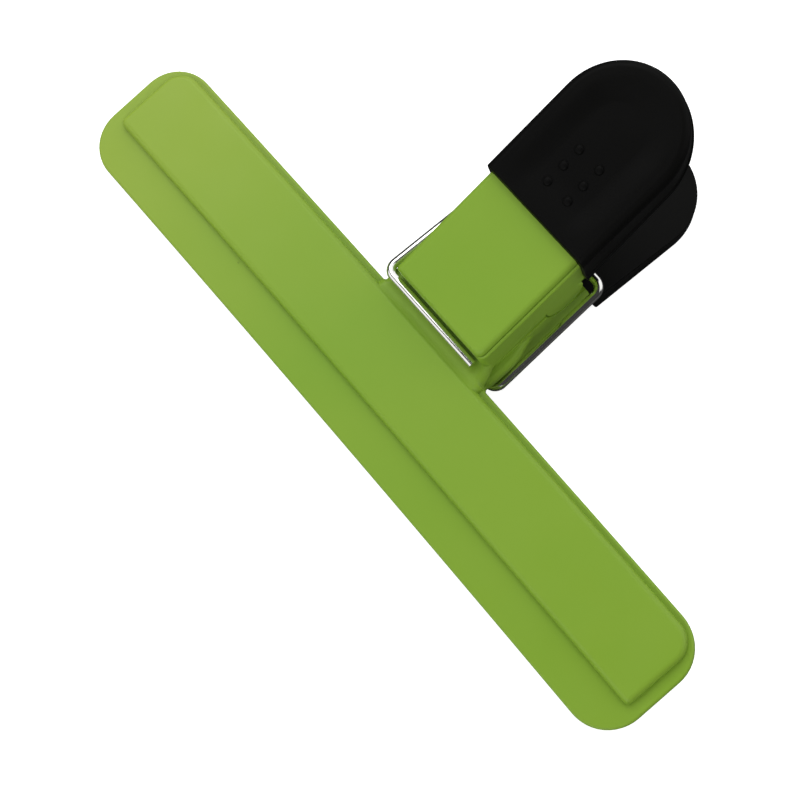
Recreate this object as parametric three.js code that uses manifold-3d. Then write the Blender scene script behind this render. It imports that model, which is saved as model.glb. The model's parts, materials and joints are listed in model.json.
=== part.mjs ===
// A jaw clip for closing bags: two identical T-shaped mouldings lie face to face, a soft boot covers the end
// of each handle, and one bent spring wire presses the jaws together and serves as their hinge pin.
//
// The clip is drawn in its own frame, in millimetres: X along the jaws, Y from the jaws' lower edge towards
// the grips, Z out of the front half, with Z = 0 midway between the halves. The back half is the front half
// turned half a turn about Y. The whole clip is then tilted as it lies on a table, on the back jaw's lower
// edge and the mouth of the back grip, and the middle of its footprint is put at the origin.

import * as THREE from "three";
import { mergeVertices } from "three/addons/utils/BufferGeometryUtils.js";
import Module from "manifold-3d";

const wasm = await Module();
wasm.setup();

// Jaw bar
const JAW_LENGTH = 150;
const JAW_HEIGHT = 25.4;
const JAW_CORNER = 8;
const JAW_BOW = 0.4; // how far the long edges bow towards the handle at mid-length
const MEETING_FACE = 0.15; // half the gap left between the two closed halves
const PLATE_INSIDE = 0.6; // inner face of the jaw plate, between the sealing ridges
const PLATE_FACE = 2.2; // outer face of the plate, seen as the lip and the rim
const PLATEAU_FACE = 4.0; // outer face of the raised middle of the jaw
const LIP_WIDTH = 8.1;
const END_RIM = 2.6;
const TOP_RIM = 1.2;
const PLATEAU_LOW_CORNER = 1.2;
const PLATEAU_TOP_CORNER = 4.5;
const EDGE_ROUND = 0.5;
const PLATEAU_ROUND = 0.9;
const RIDGE_WIDTH = 1.2;
const RIDGE_POSITIONS = [3.5, 12, 20.5];

// Spring wire
const WIRE_DIAMETER = 1.75;
const WIRE_HALF_SPAN = 14.1; // from the middle to an arm's centre
const LEG_Y = 27.3;
const LEG_Z = 4.5;
const LEG_END = 9.9; // how far past the middle a leg's free end reaches
const ROD_Y = 54.1;
const BEND_REACH = 2.2; // from a corner of the wire's centre line to where its bend starts

// Root of the handle, where the wire's leg lies in a channel
const ROOT_HALF_WIDTH = 13.3;
const ROOT_FILLET = 1;
const FLOOR_HALF_WIDTH = 12.7;
const ROOT_FLOOR = 3.3;
const SHOULDER_END = 35; // where the root's wide side has run into the tall wall

// Handle shell
const HANDLE_START = 28.6;
const HANDLE_END = 51.9;
const PAD_SLOPE = 0.21; // rise of the handle away from the middle, per millimetre of Y
const PAD_START_Z = 9.9;
const PAD_HALF_WIDTH = 11;
const PAD_STEP = 1;
const PAD_ROUND = 0.7;
const SHELL_HALF_WIDTH = 11.7;
const WALL = 1.8;
const WALL_LOW_SLOPE = 0.21; // how the low edge of the wall with the ear rises from the meeting face
const WALL_CLEARANCE = 0.5; // gap between that edge and the other half's tall wall
const EAR_Y = 47.45;
const EAR_Z = 2.35;
const EAR_RADIUS = 4.15;
const EAR_CLEARANCE = 0.4;

// Fulcrum rib, which bears on the rod
const RIB_HALF_WIDTH = 8.5;
const RIB_THICKNESS = 2.4;
const RIB_FOOT = 0.65;
const SEAT_RADIUS = 1.05;

// Tongue and soft grip
const TONGUE_HALF_WIDTH = 9.8;
const TONGUE_DROP = 1.2; // tongue's outer face below the pad's plane
const TONGUE_THICKNESS = 2.4;
const TONGUE_TIP_CENTRE = 64.2;
const GRIP_START = 52.2;
const GRIP_HALF_WIDTH = 12.8;
const GRIP_TIP_CENTRE = 71.45;
const GRIP_RISE = 1.8; // grip's outer face above the pad's plane
const GRIP_ROUND = 1.6;
const SKIRT_START_Z = 7.4; // inner face of the grip at its mouth
const SKIRT_SLOPE = 0.33;
const POCKET_GAP = 0.3;
const RIB_WINDOW_END = 57;
const BUMP_ROWS = [57.8, 61.5, 65.2];
const BUMP_HALF_PITCH = 2.55;
const BUMP_RADIUS = 0.9;
const BUMP_HEIGHT = 0.3;

const FAR = 60; // past everything, for cutting blocks

const GREEN = new THREE.MeshStandardMaterial({ color: 0x84a83f, roughness: 0.5, metalness: 0 });
const BLACK = new THREE.MeshStandardMaterial({ color: 0x141412, roughness: 0.7, metalness: 0 });
const CHROME = new THREE.MeshStandardMaterial({ color: 0xd8d8d4, roughness: 0.12, metalness: 1 });

const padZ = (y) => PAD_START_Z + PAD_SLOPE * (y - HANDLE_START);
const wallLowZ = (y) => MEETING_FACE + WALL_LOW_SLOPE * (y - HANDLE_START);
const tallWallZ = (y) => WALL_CLEARANCE - wallLowZ(y);
const skirtZ = (y) => SKIRT_START_Z + SKIRT_SLOPE * (y - GRIP_START);

// Solids and their joins

function solid(geometry) {
  const bare = geometry.clone();
  bare.deleteAttribute("normal");
  bare.deleteAttribute("uv");
  const merged = mergeVertices(bare, 1e-4);
  const mesh = new wasm.Mesh({
    numProp: 3,
    vertProperties: merged.attributes.position.array,
    triVerts: new Uint32Array(merged.index.array),
  });
  return new wasm.Manifold(mesh);
}

function join(...solids) {
  return solids.reduce((all, next) => all.add(next));
}

function geometryOf(shape) {
  const mesh = shape.getMesh();
  const geometry = new THREE.BufferGeometry();
  geometry.setAttribute("position", new THREE.BufferAttribute(mesh.vertProperties, 3));
  geometry.setIndex(new THREE.BufferAttribute(mesh.triVerts, 1));
  geometry.computeVertexNormals();
  return geometry;
}

function block(x, y, z) {
  const geometry = new THREE.BoxGeometry(x[1] - x[0], y[1] - y[0], z[1] - z[0]);
  geometry.translate((x[0] + x[1]) / 2, (y[0] + y[1]) / 2, (z[0] + z[1]) / 2);
  return solid(geometry);
}

// A shape drawn in X and Y, raised from z = low to z = high, with its edges rounded by round.
function planSolid(shape, low, high, round = 0) {
  const geometry = new THREE.ExtrudeGeometry(shape, {
    depth: high - low - 2 * round,
    bevelEnabled: round > 0,
    bevelThickness: round,
    bevelSize: round,
    bevelOffset: -round,
    bevelSegments: 2,
    curveSegments: 6,
  });
  geometry.translate(0, 0, low + round);
  return solid(geometry);
}

// A shape drawn with Y as its first coordinate and Z as its second, spanning x = left to x = right.
function sideSolid(shape, left, right) {
  const geometry = new THREE.ExtrudeGeometry(shape, {
    depth: right - left,
    bevelEnabled: false,
    curveSegments: 12,
  });
  geometry.applyMatrix4(
    new THREE.Matrix4().makeBasis(
      new THREE.Vector3(0, 1, 0),
      new THREE.Vector3(0, 0, 1),
      new THREE.Vector3(1, 0, 0),
    ),
  );
  geometry.translate(left, 0, 0);
  return solid(geometry);
}

function polygon(points) {
  return new THREE.Shape(points.map(([a, b]) => new THREE.Vector2(a, b)));
}

// Straight sides and a half-round tip.
function tongueShape(start, tipCentre, halfWidth) {
  const shape = new THREE.Shape();
  shape.moveTo(-halfWidth, start);
  shape.lineTo(halfWidth, start);
  shape.lineTo(halfWidth, tipCentre);
  shape.absarc(0, tipCentre, halfWidth, 0, Math.PI, false);
  shape.closePath();
  return shape;
}

// Jaw bar

// A bar outline between x = ±half, bowed towards +Y, with one corner radius below and one above.
function barShape(half, low, high, lowCorner, highCorner) {
  const shape = new THREE.Shape();
  const bow = 2 * JAW_BOW;
  shape.moveTo(-half + lowCorner, low);
  shape.quadraticCurveTo(0, low + bow, half - lowCorner, low);
  shape.absarc(half - lowCorner, low + lowCorner, lowCorner, -Math.PI / 2, 0, false);
  shape.lineTo(half, high - highCorner);
  shape.absarc(half - highCorner, high - highCorner, highCorner, 0, Math.PI / 2, false);
  shape.quadraticCurveTo(0, high + bow, -half + highCorner, high);
  shape.absarc(-half + highCorner, high - highCorner, highCorner, Math.PI / 2, Math.PI, false);
  shape.lineTo(-half, low + lowCorner);
  shape.absarc(-half + lowCorner, low + lowCorner, lowCorner, Math.PI, 1.5 * Math.PI, false);
  return shape;
}

function jawPlate() {
  const outline = barShape(JAW_LENGTH / 2, 0, JAW_HEIGHT, JAW_CORNER, JAW_CORNER);
  return planSolid(outline, PLATE_INSIDE, PLATE_FACE, EDGE_ROUND);
}

function plateau() {
  const outline = barShape(
    JAW_LENGTH / 2 - END_RIM,
    LIP_WIDTH,
    JAW_HEIGHT - TOP_RIM,
    PLATEAU_LOW_CORNER,
    PLATEAU_TOP_CORNER,
  );
  return planSolid(outline, PLATE_INSIDE + EDGE_ROUND, PLATEAU_FACE, PLATEAU_ROUND);
}

function sealingRidges() {
  const half = JAW_LENGTH / 2 - JAW_CORNER;
  return RIDGE_POSITIONS.map((y) =>
    planSolid(
      barShape(half, y - RIDGE_WIDTH / 2, y + RIDGE_WIDTH / 2, 0.3, 0.3),
      MEETING_FACE,
      PLATE_INSIDE + EDGE_ROUND,
    ),
  );
}

// Handle

function handleRoot() {
  const shape = new THREE.Shape();
  const wide = ROOT_HALF_WIDTH + ROOT_FILLET;
  const low = JAW_HEIGHT - 3;
  const edge = JAW_HEIGHT;
  shape.moveTo(-wide, low);
  shape.lineTo(wide, low);
  shape.lineTo(wide, edge);
  shape.quadraticCurveTo(ROOT_HALF_WIDTH, edge, ROOT_HALF_WIDTH, edge + ROOT_FILLET);
  shape.lineTo(ROOT_HALF_WIDTH, HANDLE_START + WALL);
  shape.lineTo(-ROOT_HALF_WIDTH, HANDLE_START + WALL);
  shape.lineTo(-ROOT_HALF_WIDTH, edge + ROOT_FILLET);
  shape.quadraticCurveTo(-ROOT_HALF_WIDTH, edge, -wide, edge);
  const plate = planSolid(shape, MEETING_FACE, PLATE_FACE);
  const floor = block(
    [-FLOOR_HALF_WIDTH, FLOOR_HALF_WIDTH],
    [edge - TOP_RIM - 1, HANDLE_START + WALL],
    [PLATE_INSIDE, ROOT_FLOOR],
  );
  return join(plate, floor, rootShoulder());
}

// The root's side beside the tall wall stays wide past the wire, then runs into the wall.
function rootShoulder() {
  const wide = -ROOT_HALF_WIDTH;
  const shape = polygon([
    [wide, HANDLE_START],
    [-SHELL_HALF_WIDTH + WALL, HANDLE_START],
    [-SHELL_HALF_WIDTH + WALL, SHOULDER_END],
    [-SHELL_HALF_WIDTH, SHOULDER_END],
    [wide, HANDLE_START + 2 * WALL],
  ]);
  return planSolid(shape, wallLowZ(SHOULDER_END), PLATE_FACE);
}

// A side wall's profile, down to a low edge that runs from startZ to endZ.
function wallShape(startZ, endZ) {
  return polygon([
    [HANDLE_START, startZ],
    [HANDLE_END, endZ],
    [HANDLE_END, padZ(HANDLE_END) - PAD_STEP],
    [HANDLE_START, padZ(HANDLE_START) - PAD_STEP],
  ]);
}

// The round lobe of one wall, at height z, grown by extra.
function earShape(z, extra) {
  const shape = new THREE.Shape();
  shape.absarc(EAR_Y, z, EAR_RADIUS + extra, 0, 2 * Math.PI, false);
  return shape;
}

// The right wall, whose ear reaches past the middle into the other half's open side.
function earWall() {
  const wall = sideSolid(
    wallShape(wallLowZ(HANDLE_START), wallLowZ(HANDLE_END)),
    SHELL_HALF_WIDTH - WALL,
    SHELL_HALF_WIDTH,
  );
  const ear = sideSolid(earShape(EAR_Z, 0), SHELL_HALF_WIDTH - WALL, SHELL_HALF_WIDTH);
  return join(wall, ear);
}

// The left wall closes the other half's open side, and is cut away round the other half's ear.
function tallWall() {
  const wall = sideSolid(
    wallShape(tallWallZ(HANDLE_START), tallWallZ(HANDLE_END)),
    -SHELL_HALF_WIDTH,
    -SHELL_HALF_WIDTH + WALL,
  );
  const recess = sideSolid(earShape(-EAR_Z, EAR_CLEARANCE), -FAR, 0);
  const beyond = block([-FAR, 0], [EAR_Y, FAR], [-FAR, EAR_RADIUS + EAR_CLEARANCE - EAR_Z]);
  return wall.subtract(recess).subtract(beyond);
}

// A slab that follows the pad's slope, from above to below its plane.
function slopingShape(start, end, above, below) {
  return polygon([
    [start, padZ(start) - below],
    [end, padZ(end) - below],
    [end, padZ(end) + above],
    [start, padZ(start) + above],
  ]);
}

function endWall(y) {
  const shape = polygon([
    [y, wallLowZ(y)],
    [y + WALL, wallLowZ(y + WALL)],
    [y + WALL, padZ(y + WALL) - PAD_STEP],
    [y, padZ(y) - PAD_STEP],
  ]);
  return sideSolid(shape, -SHELL_HALF_WIDTH, SHELL_HALF_WIDTH);
}

function pad() {
  const length = (HANDLE_END - HANDLE_START) * Math.hypot(1, PAD_SLOPE);
  const thickness = PAD_STEP + WALL;
  const geometry = new THREE.ExtrudeGeometry(
    polygon([
      [-PAD_HALF_WIDTH, 0],
      [PAD_HALF_WIDTH, 0],
      [PAD_HALF_WIDTH, length],
      [-PAD_HALF_WIDTH, length],
    ]),
    {
      depth: thickness - PAD_ROUND,
      bevelThickness: PAD_ROUND,
      bevelSize: PAD_ROUND,
      bevelOffset: -PAD_ROUND,
      bevelSegments: 2,
    },
  );
  geometry.translate(0, 0, PAD_ROUND - thickness - PAD_ROUND);
  geometry.rotateX(Math.atan(PAD_SLOPE));
  geometry.translate(0, HANDLE_START, padZ(HANDLE_START));
  return solid(geometry).intersect(block([-FAR, FAR], [HANDLE_START, HANDLE_END], [0, FAR]));
}

function fulcrumRib() {
  const low = ROD_Y - RIB_THICKNESS / 2;
  const high = ROD_Y + RIB_THICKNESS / 2;
  const rib = block([-RIB_HALF_WIDTH, RIB_HALF_WIDTH], [low, high], [RIB_FOOT, padZ(ROD_Y) - TONGUE_DROP - 1]);
  const seat = new THREE.CylinderGeometry(SEAT_RADIUS, SEAT_RADIUS, 2 * FAR, 16);
  seat.rotateZ(Math.PI / 2);
  seat.translate(0, ROD_Y, 0);
  return rib.subtract(solid(seat));
}

function tongue() {
  const start = HANDLE_END - WALL;
  const end = TONGUE_TIP_CENTRE + TONGUE_HALF_WIDTH;
  const slab = slopingShape(start, end, -TONGUE_DROP, TONGUE_DROP + TONGUE_THICKNESS);
  const plan = planSolid(tongueShape(start, TONGUE_TIP_CENTRE, TONGUE_HALF_WIDTH), 0, FAR);
  return sideSolid(slab, -TONGUE_HALF_WIDTH, TONGUE_HALF_WIDTH).intersect(plan);
}

function handle() {
  const roof = sideSolid(
    slopingShape(HANDLE_START, HANDLE_END, -PAD_STEP, PAD_STEP + WALL),
    -SHELL_HALF_WIDTH,
    SHELL_HALF_WIDTH,
  );
  return join(
    handleRoot(),
    roof,
    pad(),
    endWall(HANDLE_START),
    endWall(HANDLE_END - WALL),
    earWall(),
    tallWall(),
    tongue(),
    fulcrumRib(),
  );
}

function jaw() {
  return join(jawPlate(), plateau(), ...sealingRidges(), handle());
}

// Soft grip

function gripBody() {
  const tip = GRIP_TIP_CENTRE + GRIP_HALF_WIDTH;
  const length = (tip - GRIP_START) * Math.hypot(1, PAD_SLOPE);
  const geometry = new THREE.ExtrudeGeometry(tongueShape(0, length - GRIP_HALF_WIDTH, GRIP_HALF_WIDTH), {
    depth: 2 * GRIP_HALF_WIDTH,
    bevelThickness: GRIP_ROUND,
    bevelSize: GRIP_ROUND,
    bevelOffset: -GRIP_ROUND,
    bevelSegments: 3,
    curveSegments: 14,
  });
  geometry.translate(0, 0, -2 * GRIP_HALF_WIDTH - GRIP_ROUND);
  geometry.rotateX(Math.atan(PAD_SLOPE));
  geometry.translate(0, GRIP_START, padZ(GRIP_START) + GRIP_RISE);
  const below = polygon([
    [GRIP_START - FAR, skirtZ(GRIP_START - FAR)],
    [GRIP_START - FAR, -FAR],
    [GRIP_START + FAR, -FAR],
    [GRIP_START + FAR, skirtZ(GRIP_START + FAR)],
  ]);
  return solid(geometry)
    .subtract(sideSolid(below, -FAR, FAR))
    .subtract(block([-FAR, FAR], [GRIP_START - FAR, GRIP_START], [-FAR, FAR]));
}

function gripPocket() {
  const end = TONGUE_TIP_CENTRE + TONGUE_HALF_WIDTH + POCKET_GAP;
  const start = GRIP_START - 1;
  const half = TONGUE_HALF_WIDTH + POCKET_GAP;
  const slab = slopingShape(
    start,
    end,
    POCKET_GAP - TONGUE_DROP,
    TONGUE_DROP + TONGUE_THICKNESS + POCKET_GAP,
  );
  const plan = planSolid(tongueShape(start, TONGUE_TIP_CENTRE, half), 0, FAR);
  const ribWindow = block(
    [-RIB_HALF_WIDTH - POCKET_GAP, RIB_HALF_WIDTH + POCKET_GAP],
    [start, RIB_WINDOW_END],
    [0, padZ(start) - TONGUE_DROP - 1],
  );
  return join(sideSolid(slab, -half, half).intersect(plan), ribWindow);
}

function bump(x, y) {
  const cap = new THREE.SphereGeometry(1, 10, 6);
  cap.scale(BUMP_RADIUS, BUMP_RADIUS, BUMP_HEIGHT);
  cap.rotateX(Math.atan(PAD_SLOPE));
  cap.translate(x, y, padZ(y) + GRIP_RISE);
  return solid(cap);
}

function grip() {
  const bumps = BUMP_ROWS.flatMap((y) => [bump(-BUMP_HALF_PITCH, y), bump(BUMP_HALF_PITCH, y)]);
  return join(gripBody().subtract(gripPocket()), ...bumps);
}

// Spring wire

// Straight runs between the corners, with a bend at each corner.
function wirePath(corners) {
  const path = new THREE.CurvePath();
  let from = corners[0];
  for (let i = 1; i < corners.length - 1; i += 1) {
    const corner = corners[i];
    const before = corner.clone().sub(corners[i - 1]).setLength(BEND_REACH);
    const after = corners[i + 1].clone().sub(corner).setLength(BEND_REACH);
    const start = corner.clone().sub(before);
    const end = corner.clone().add(after);
    path.add(new THREE.LineCurve3(from, start));
    path.add(new THREE.QuadraticBezierCurve3(start, corner, end));
    from = end;
  }
  path.add(new THREE.LineCurve3(from, corners[corners.length - 1]));
  return path;
}

function springWire() {
  const front = [
    new THREE.Vector3(LEG_END, LEG_Y, LEG_Z),
    new THREE.Vector3(-WIRE_HALF_SPAN, LEG_Y, LEG_Z),
    new THREE.Vector3(-WIRE_HALF_SPAN, ROD_Y, 0),
  ];
  const back = front.map((p) => new THREE.Vector3(-p.x, p.y, -p.z)).reverse();
  const section = new THREE.Shape();
  section.absarc(0, 0, WIRE_DIAMETER / 2, 0, 2 * Math.PI, false);
  return new THREE.ExtrudeGeometry(section, {
    extrudePath: wirePath([...front, ...back]),
    steps: 90,
    curveSegments: 4,
    bevelEnabled: false,
  });
}

// Assembly

function piece(name, geometry, material) {
  const mesh = new THREE.Mesh(geometry, material);
  mesh.name = name;
  return mesh;
}

function half(side, jawGeometry, gripGeometry) {
  const group = new THREE.Group();
  group.add(piece(side + "_jaw", jawGeometry, GREEN));
  group.add(piece(side + "_grip", gripGeometry, BLACK));
  return group;
}

// The steepest line from the back jaw's lower edge to the back grip is the line of the table.
function tableTilt(gripGeometry) {
  const position = gripGeometry.getAttribute("position");
  let steepest = 0;
  for (let i = 0; i < position.count; i += 1) {
    steepest = Math.max(steepest, (position.getZ(i) - PLATE_FACE) / position.getY(i));
  }
  return Math.atan(steepest);
}

const jawGeometry = geometryOf(jaw());
const gripGeometry = geometryOf(grip());

const frontHalf = half("front", jawGeometry, gripGeometry);
const backHalf = half("back", jawGeometry, gripGeometry);
backHalf.rotation.y = Math.PI;

const clip = new THREE.Group();
clip.add(frontHalf, backHalf, piece("spring_wire", springWire(), CHROME));
clip.rotation.x = tableTilt(gripGeometry);

const part = new THREE.Group();
part.add(clip);
part.updateMatrixWorld(true);
const extent = new THREE.Box3().setFromObject(part, true);
const middle = extent.getCenter(new THREE.Vector3());
clip.position.set(-middle.x, -middle.y, -extent.min.z);

export default part;
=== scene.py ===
"""A jaw clip for closing bags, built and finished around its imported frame.

Every piece is drawn in the clip's own frame, in millimetres: X along the jaws, Y from the jaws'
lower edge towards the grips, Z out of the front half, with Z = 0 midway between the halves. The
back half is the front half turned half a turn about Y. Each finished piece is then moved into the
row frame, in metres, as the clip lies on a table.
"""

import json
import logging
import math
from dataclasses import dataclass
from enum import Enum
from typing import Callable, Sequence

import bmesh
import bpy
from mathutils import Matrix, Vector


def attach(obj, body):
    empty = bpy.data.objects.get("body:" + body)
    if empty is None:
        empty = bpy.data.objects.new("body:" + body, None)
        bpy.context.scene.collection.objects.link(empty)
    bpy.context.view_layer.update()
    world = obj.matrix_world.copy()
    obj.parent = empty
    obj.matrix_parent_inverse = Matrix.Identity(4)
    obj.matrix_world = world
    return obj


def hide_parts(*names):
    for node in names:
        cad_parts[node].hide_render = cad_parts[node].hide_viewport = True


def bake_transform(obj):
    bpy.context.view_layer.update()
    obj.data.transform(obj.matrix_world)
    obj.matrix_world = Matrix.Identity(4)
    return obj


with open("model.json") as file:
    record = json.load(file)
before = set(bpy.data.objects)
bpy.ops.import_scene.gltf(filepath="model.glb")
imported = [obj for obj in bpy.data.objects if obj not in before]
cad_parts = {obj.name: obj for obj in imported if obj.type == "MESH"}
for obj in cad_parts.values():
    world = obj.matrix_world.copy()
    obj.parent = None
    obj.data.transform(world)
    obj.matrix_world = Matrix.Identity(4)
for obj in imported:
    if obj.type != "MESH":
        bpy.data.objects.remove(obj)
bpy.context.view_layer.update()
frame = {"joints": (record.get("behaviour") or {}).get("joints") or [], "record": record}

MM = 0.001
# Where an outline starts and ends, to either side of its middle
MIDDLE_MM = 0.4
# Smallest strip of a cap that counts as having area
LEAST_STRIP_MM2 = 0.001
LOG = logging.getLogger("bag_clip")

Plan = list[tuple[float, float]]
Ring = list[tuple[float, float, float]]


class Side(Enum):
    """The clip's two halves, each with the body that it rides on."""

    FRONT = "front_half"
    BACK = "back_half"

    @property
    def word(self) -> str:
        """The half's short name, as the CAD nodes use it."""
        return self.name.lower()

    @property
    def turn(self) -> Matrix:
        """How the front half's shape is turned to make this half."""
        return Matrix.Rotation(math.pi if self is Side.BACK else 0.0, 4, "Y")


class Slot(Enum):
    """The record's material slots."""

    JAW = "jaw_plastic"
    GRIP = "grip_rubber"
    SPRING = "spring_chrome"


@dataclass(frozen=True)
class Incline:
    """A plane that rises away from the clip's middle as Y grows."""

    start_y: float
    start_z: float
    slope: float

    def z(self, y: float) -> float:
        """Height of the plane at y."""
        return self.start_z + self.slope * (y - self.start_y)


PAD_PLANE = Incline(28.6, 9.9, 0.21)
MEETING_Z = 0.15  # half the gap left between the two closed halves
ROD_Y = 54.1


@dataclass(frozen=True)
class ClipPlace:
    """Where the clip's own frame lies in the row frame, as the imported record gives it."""

    record: dict
    joint: dict

    def matrix(self) -> Matrix:
        """The matrix from clip millimetres to row metres.

        Returns:
            The tilt about X that the front jaw's face has in the record, about the spring's rod.
        """
        mounts = {mount["name"]: mount for mount in self.record["mounts"]}
        normal = mounts["front_jaw_face"]["axis"]
        tilt = math.atan2(-normal[1], normal[2])
        to_rod = Matrix.Translation((0.0, -ROD_Y, 0.0))
        return (
            Matrix.Translation(self.joint["pos_m"])
            @ Matrix.Rotation(tilt, 4, "X")
            @ Matrix.Scale(MM, 4)
            @ to_rod
        )


# Plans: flat outlines whose second half mirrors the first, so that a cap can join them across


def arc(x: float, y: float, radius: float, start: float, end: float, steps: int) -> Plan:
    """Points along a circle.

    Args:
        x: Centre's first coordinate.
        y: Centre's second coordinate.
        radius: The circle's radius.
        start: First angle, in degrees.
        end: Last angle, in degrees.
        steps: Number of chords.

    Returns:
        The points, both ends included.
    """
    points = []
    for i in range(steps + 1):
        angle = math.radians(start + (end - start) * i / steps)
        points.append((x + radius * math.cos(angle), y + radius * math.sin(angle)))
    return points


def line(start: tuple[float, float], end: tuple[float, float], steps: int) -> Plan:
    """Points inside a straight run, both ends left out.

    Args:
        start: The point before the run.
        end: The point after the run.
        steps: Number of equal parts.

    Returns:
        The inner points.
    """
    return [
        (start[0] + (end[0] - start[0]) * i / steps, start[1] + (end[1] - start[1]) * i / steps)
        for i in range(1, steps)
    ]


def mirrored(right: Plan) -> Plan:
    """Closes the right half of a plan, given from low to high, with its mirror image in x."""
    return right + [(-x, y) for x, y in reversed(right)]


def rounding(radius: float, steps: int) -> list[tuple[float, float]]:
    """A quarter round, from the side of a moulding up onto its face.

    Args:
        radius: The rounding's radius.
        steps: Number of chords.

    Returns:
        Pairs of inset from the side and drop below the face.
    """
    pairs = []
    for i in range(steps + 1):
        angle = math.pi / 2 * i / steps
        pairs.append((radius * (1 - math.cos(angle)), radius * (1 - math.sin(angle))))
    return pairs


# Meshes


def cap_strips(ring: Ring) -> list[list[int]]:
    """Splits a ring's flat cap into strips that run from side to side.

    A pair of facing points in line with the pair before it joins the next strip, so that no
    strip is without area.

    Args:
        ring: The ring, point i facing the i-th point from its end.

    Returns:
        The corners of each strip, as places in the ring.
    """
    count, half = len(ring), len(ring) // 2
    strips, start = [], 0
    for end in range(1, half):
        corners = [*range(start, end + 1), *range(count - 1 - end, count - start)]
        spokes = [Vector(ring[k]) - Vector(ring[corners[0]]) for k in corners[1:]]
        area = sum((a.cross(b) for a, b in zip(spokes, spokes[1:])), Vector()).length / 2
        if area > LEAST_STRIP_MM2:
            strips.append(corners)
            start = end
    if start < half - 1 or count % 2:
        begin = strips.pop()[0]
        strips.append([*range(begin, count - begin)])
    return strips


def skin(name: str, rings: Sequence[Ring]) -> bpy.types.Object:
    """Closes stacked rings of equal length into one solid.

    Args:
        name: Name of the new object.
        rings: The rings from low to high, each anticlockwise from above, point i facing the
            i-th point from the ring's end.

    Returns:
        The new object, in the scene.
    """
    count = len(rings[0])
    vertices = [point for ring in rings for point in ring]
    faces = []
    for level in range(len(rings) - 1):
        low, high = level * count, (level + 1) * count
        for i in range(count):
            j = (i + 1) % count
            faces.append((low + i, low + j, high + j, high + i))
    top = (len(rings) - 1) * count
    faces += [tuple(top + k for k in strip) for strip in cap_strips(rings[-1])]
    faces += [tuple(reversed(strip)) for strip in cap_strips(rings[0])]
    mesh = bpy.data.meshes.new(name)
    mesh.from_pydata(vertices, [], faces)
    mesh.validate()
    return placed(name, mesh)


def placed(name: str, mesh: bpy.types.Mesh) -> bpy.types.Object:
    """Puts a mesh in the scene as an object at the origin."""
    piece = bpy.data.objects.new(name, mesh)
    bpy.context.scene.collection.objects.link(piece)
    return piece


def baked(piece: bpy.types.Object) -> None:
    """Turns a piece's modifiers into its plain mesh.

    Args:
        piece: The object whose modifiers are made permanent and removed.
    """
    graph = bpy.context.evaluated_depsgraph_get()
    graph.update()
    made = bpy.data.meshes.new_from_object(
        piece.evaluated_get(graph), preserve_all_data_layers=True, depsgraph=graph
    )
    piece.modifiers.clear()
    old, piece.data = piece.data, made
    made.name = piece.name
    bpy.data.meshes.remove(old)


class Cut(Enum):
    """How one solid changes another."""

    JOIN = "UNION"
    CARVE = "DIFFERENCE"


def shaped(
    piece: bpy.types.Object, tool: bpy.types.Object, cut: Cut, folded: bool = False
) -> None:
    """Joins a solid to a piece, or carves it out, and removes the solid.

    Args:
        piece: The object that is changed.
        tool: The solid that changes it.
        cut: Whether it joins or carves.
        folded: Whether the piece's faces cross each other, which the cut then also clears up.
    """
    change = piece.modifiers.new(cut.name, "BOOLEAN")
    change.operation = cut.value
    change.solver = "EXACT"
    change.use_self = folded
    change.object = tool
    baked(piece)
    mesh = tool.data
    bpy.data.objects.remove(tool)
    bpy.data.meshes.remove(mesh)


def welded(mesh: bpy.types.Mesh, least: float) -> None:
    """Closes up edges too short to see, so that every edge of a solid has two faces.

    Args:
        mesh: The mesh that is cleaned.
        least: The shortest edge that is kept.
    """
    solid = bmesh.new()
    solid.from_mesh(mesh)
    bmesh.ops.remove_doubles(solid, verts=solid.verts, dist=least)
    bmesh.ops.dissolve_degenerate(solid, edges=solid.edges, dist=least)
    loose = [edge for edge in solid.edges if not edge.link_faces]
    bmesh.ops.delete(solid, geom=loose, context="EDGES")
    solid.to_mesh(mesh)
    solid.free()


@dataclass(frozen=True)
class Settling:
    """How a finished solid becomes a piece of the clip."""

    place: Matrix
    crease_deg: float = 32.0
    least_edge: float = 0.004

    def apply(self, piece: bpy.types.Object, side: Side, slot: Slot) -> None:
        """Moves a solid into the row frame, smooths it between its creases and rides it.

        Args:
            piece: The solid, drawn as the front half's in clip millimetres.
            side: The half it belongs to.
            slot: Not used.
        """
        mesh = piece.data
        welded(mesh, self.least_edge)
        self.move(piece, side)
        mesh.polygons.foreach_set("use_smooth", [True] * len(mesh.polygons))
        mesh.set_sharp_from_angle(angle=math.radians(self.crease_deg))
        weighting = piece.modifiers.new("flat faces stay flat", "WEIGHTED_NORMAL")
        weighting.keep_sharp = True
        weighting.weight = 50
        baked(piece)
        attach(piece, side.value)

    def move(self, piece: bpy.types.Object, side: Side) -> None:
        """Moves a mesh from the front half's clip frame to its half's place in the row frame."""
        piece.data.transform(self.place @ side.turn)


# Jaw moulding


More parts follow.
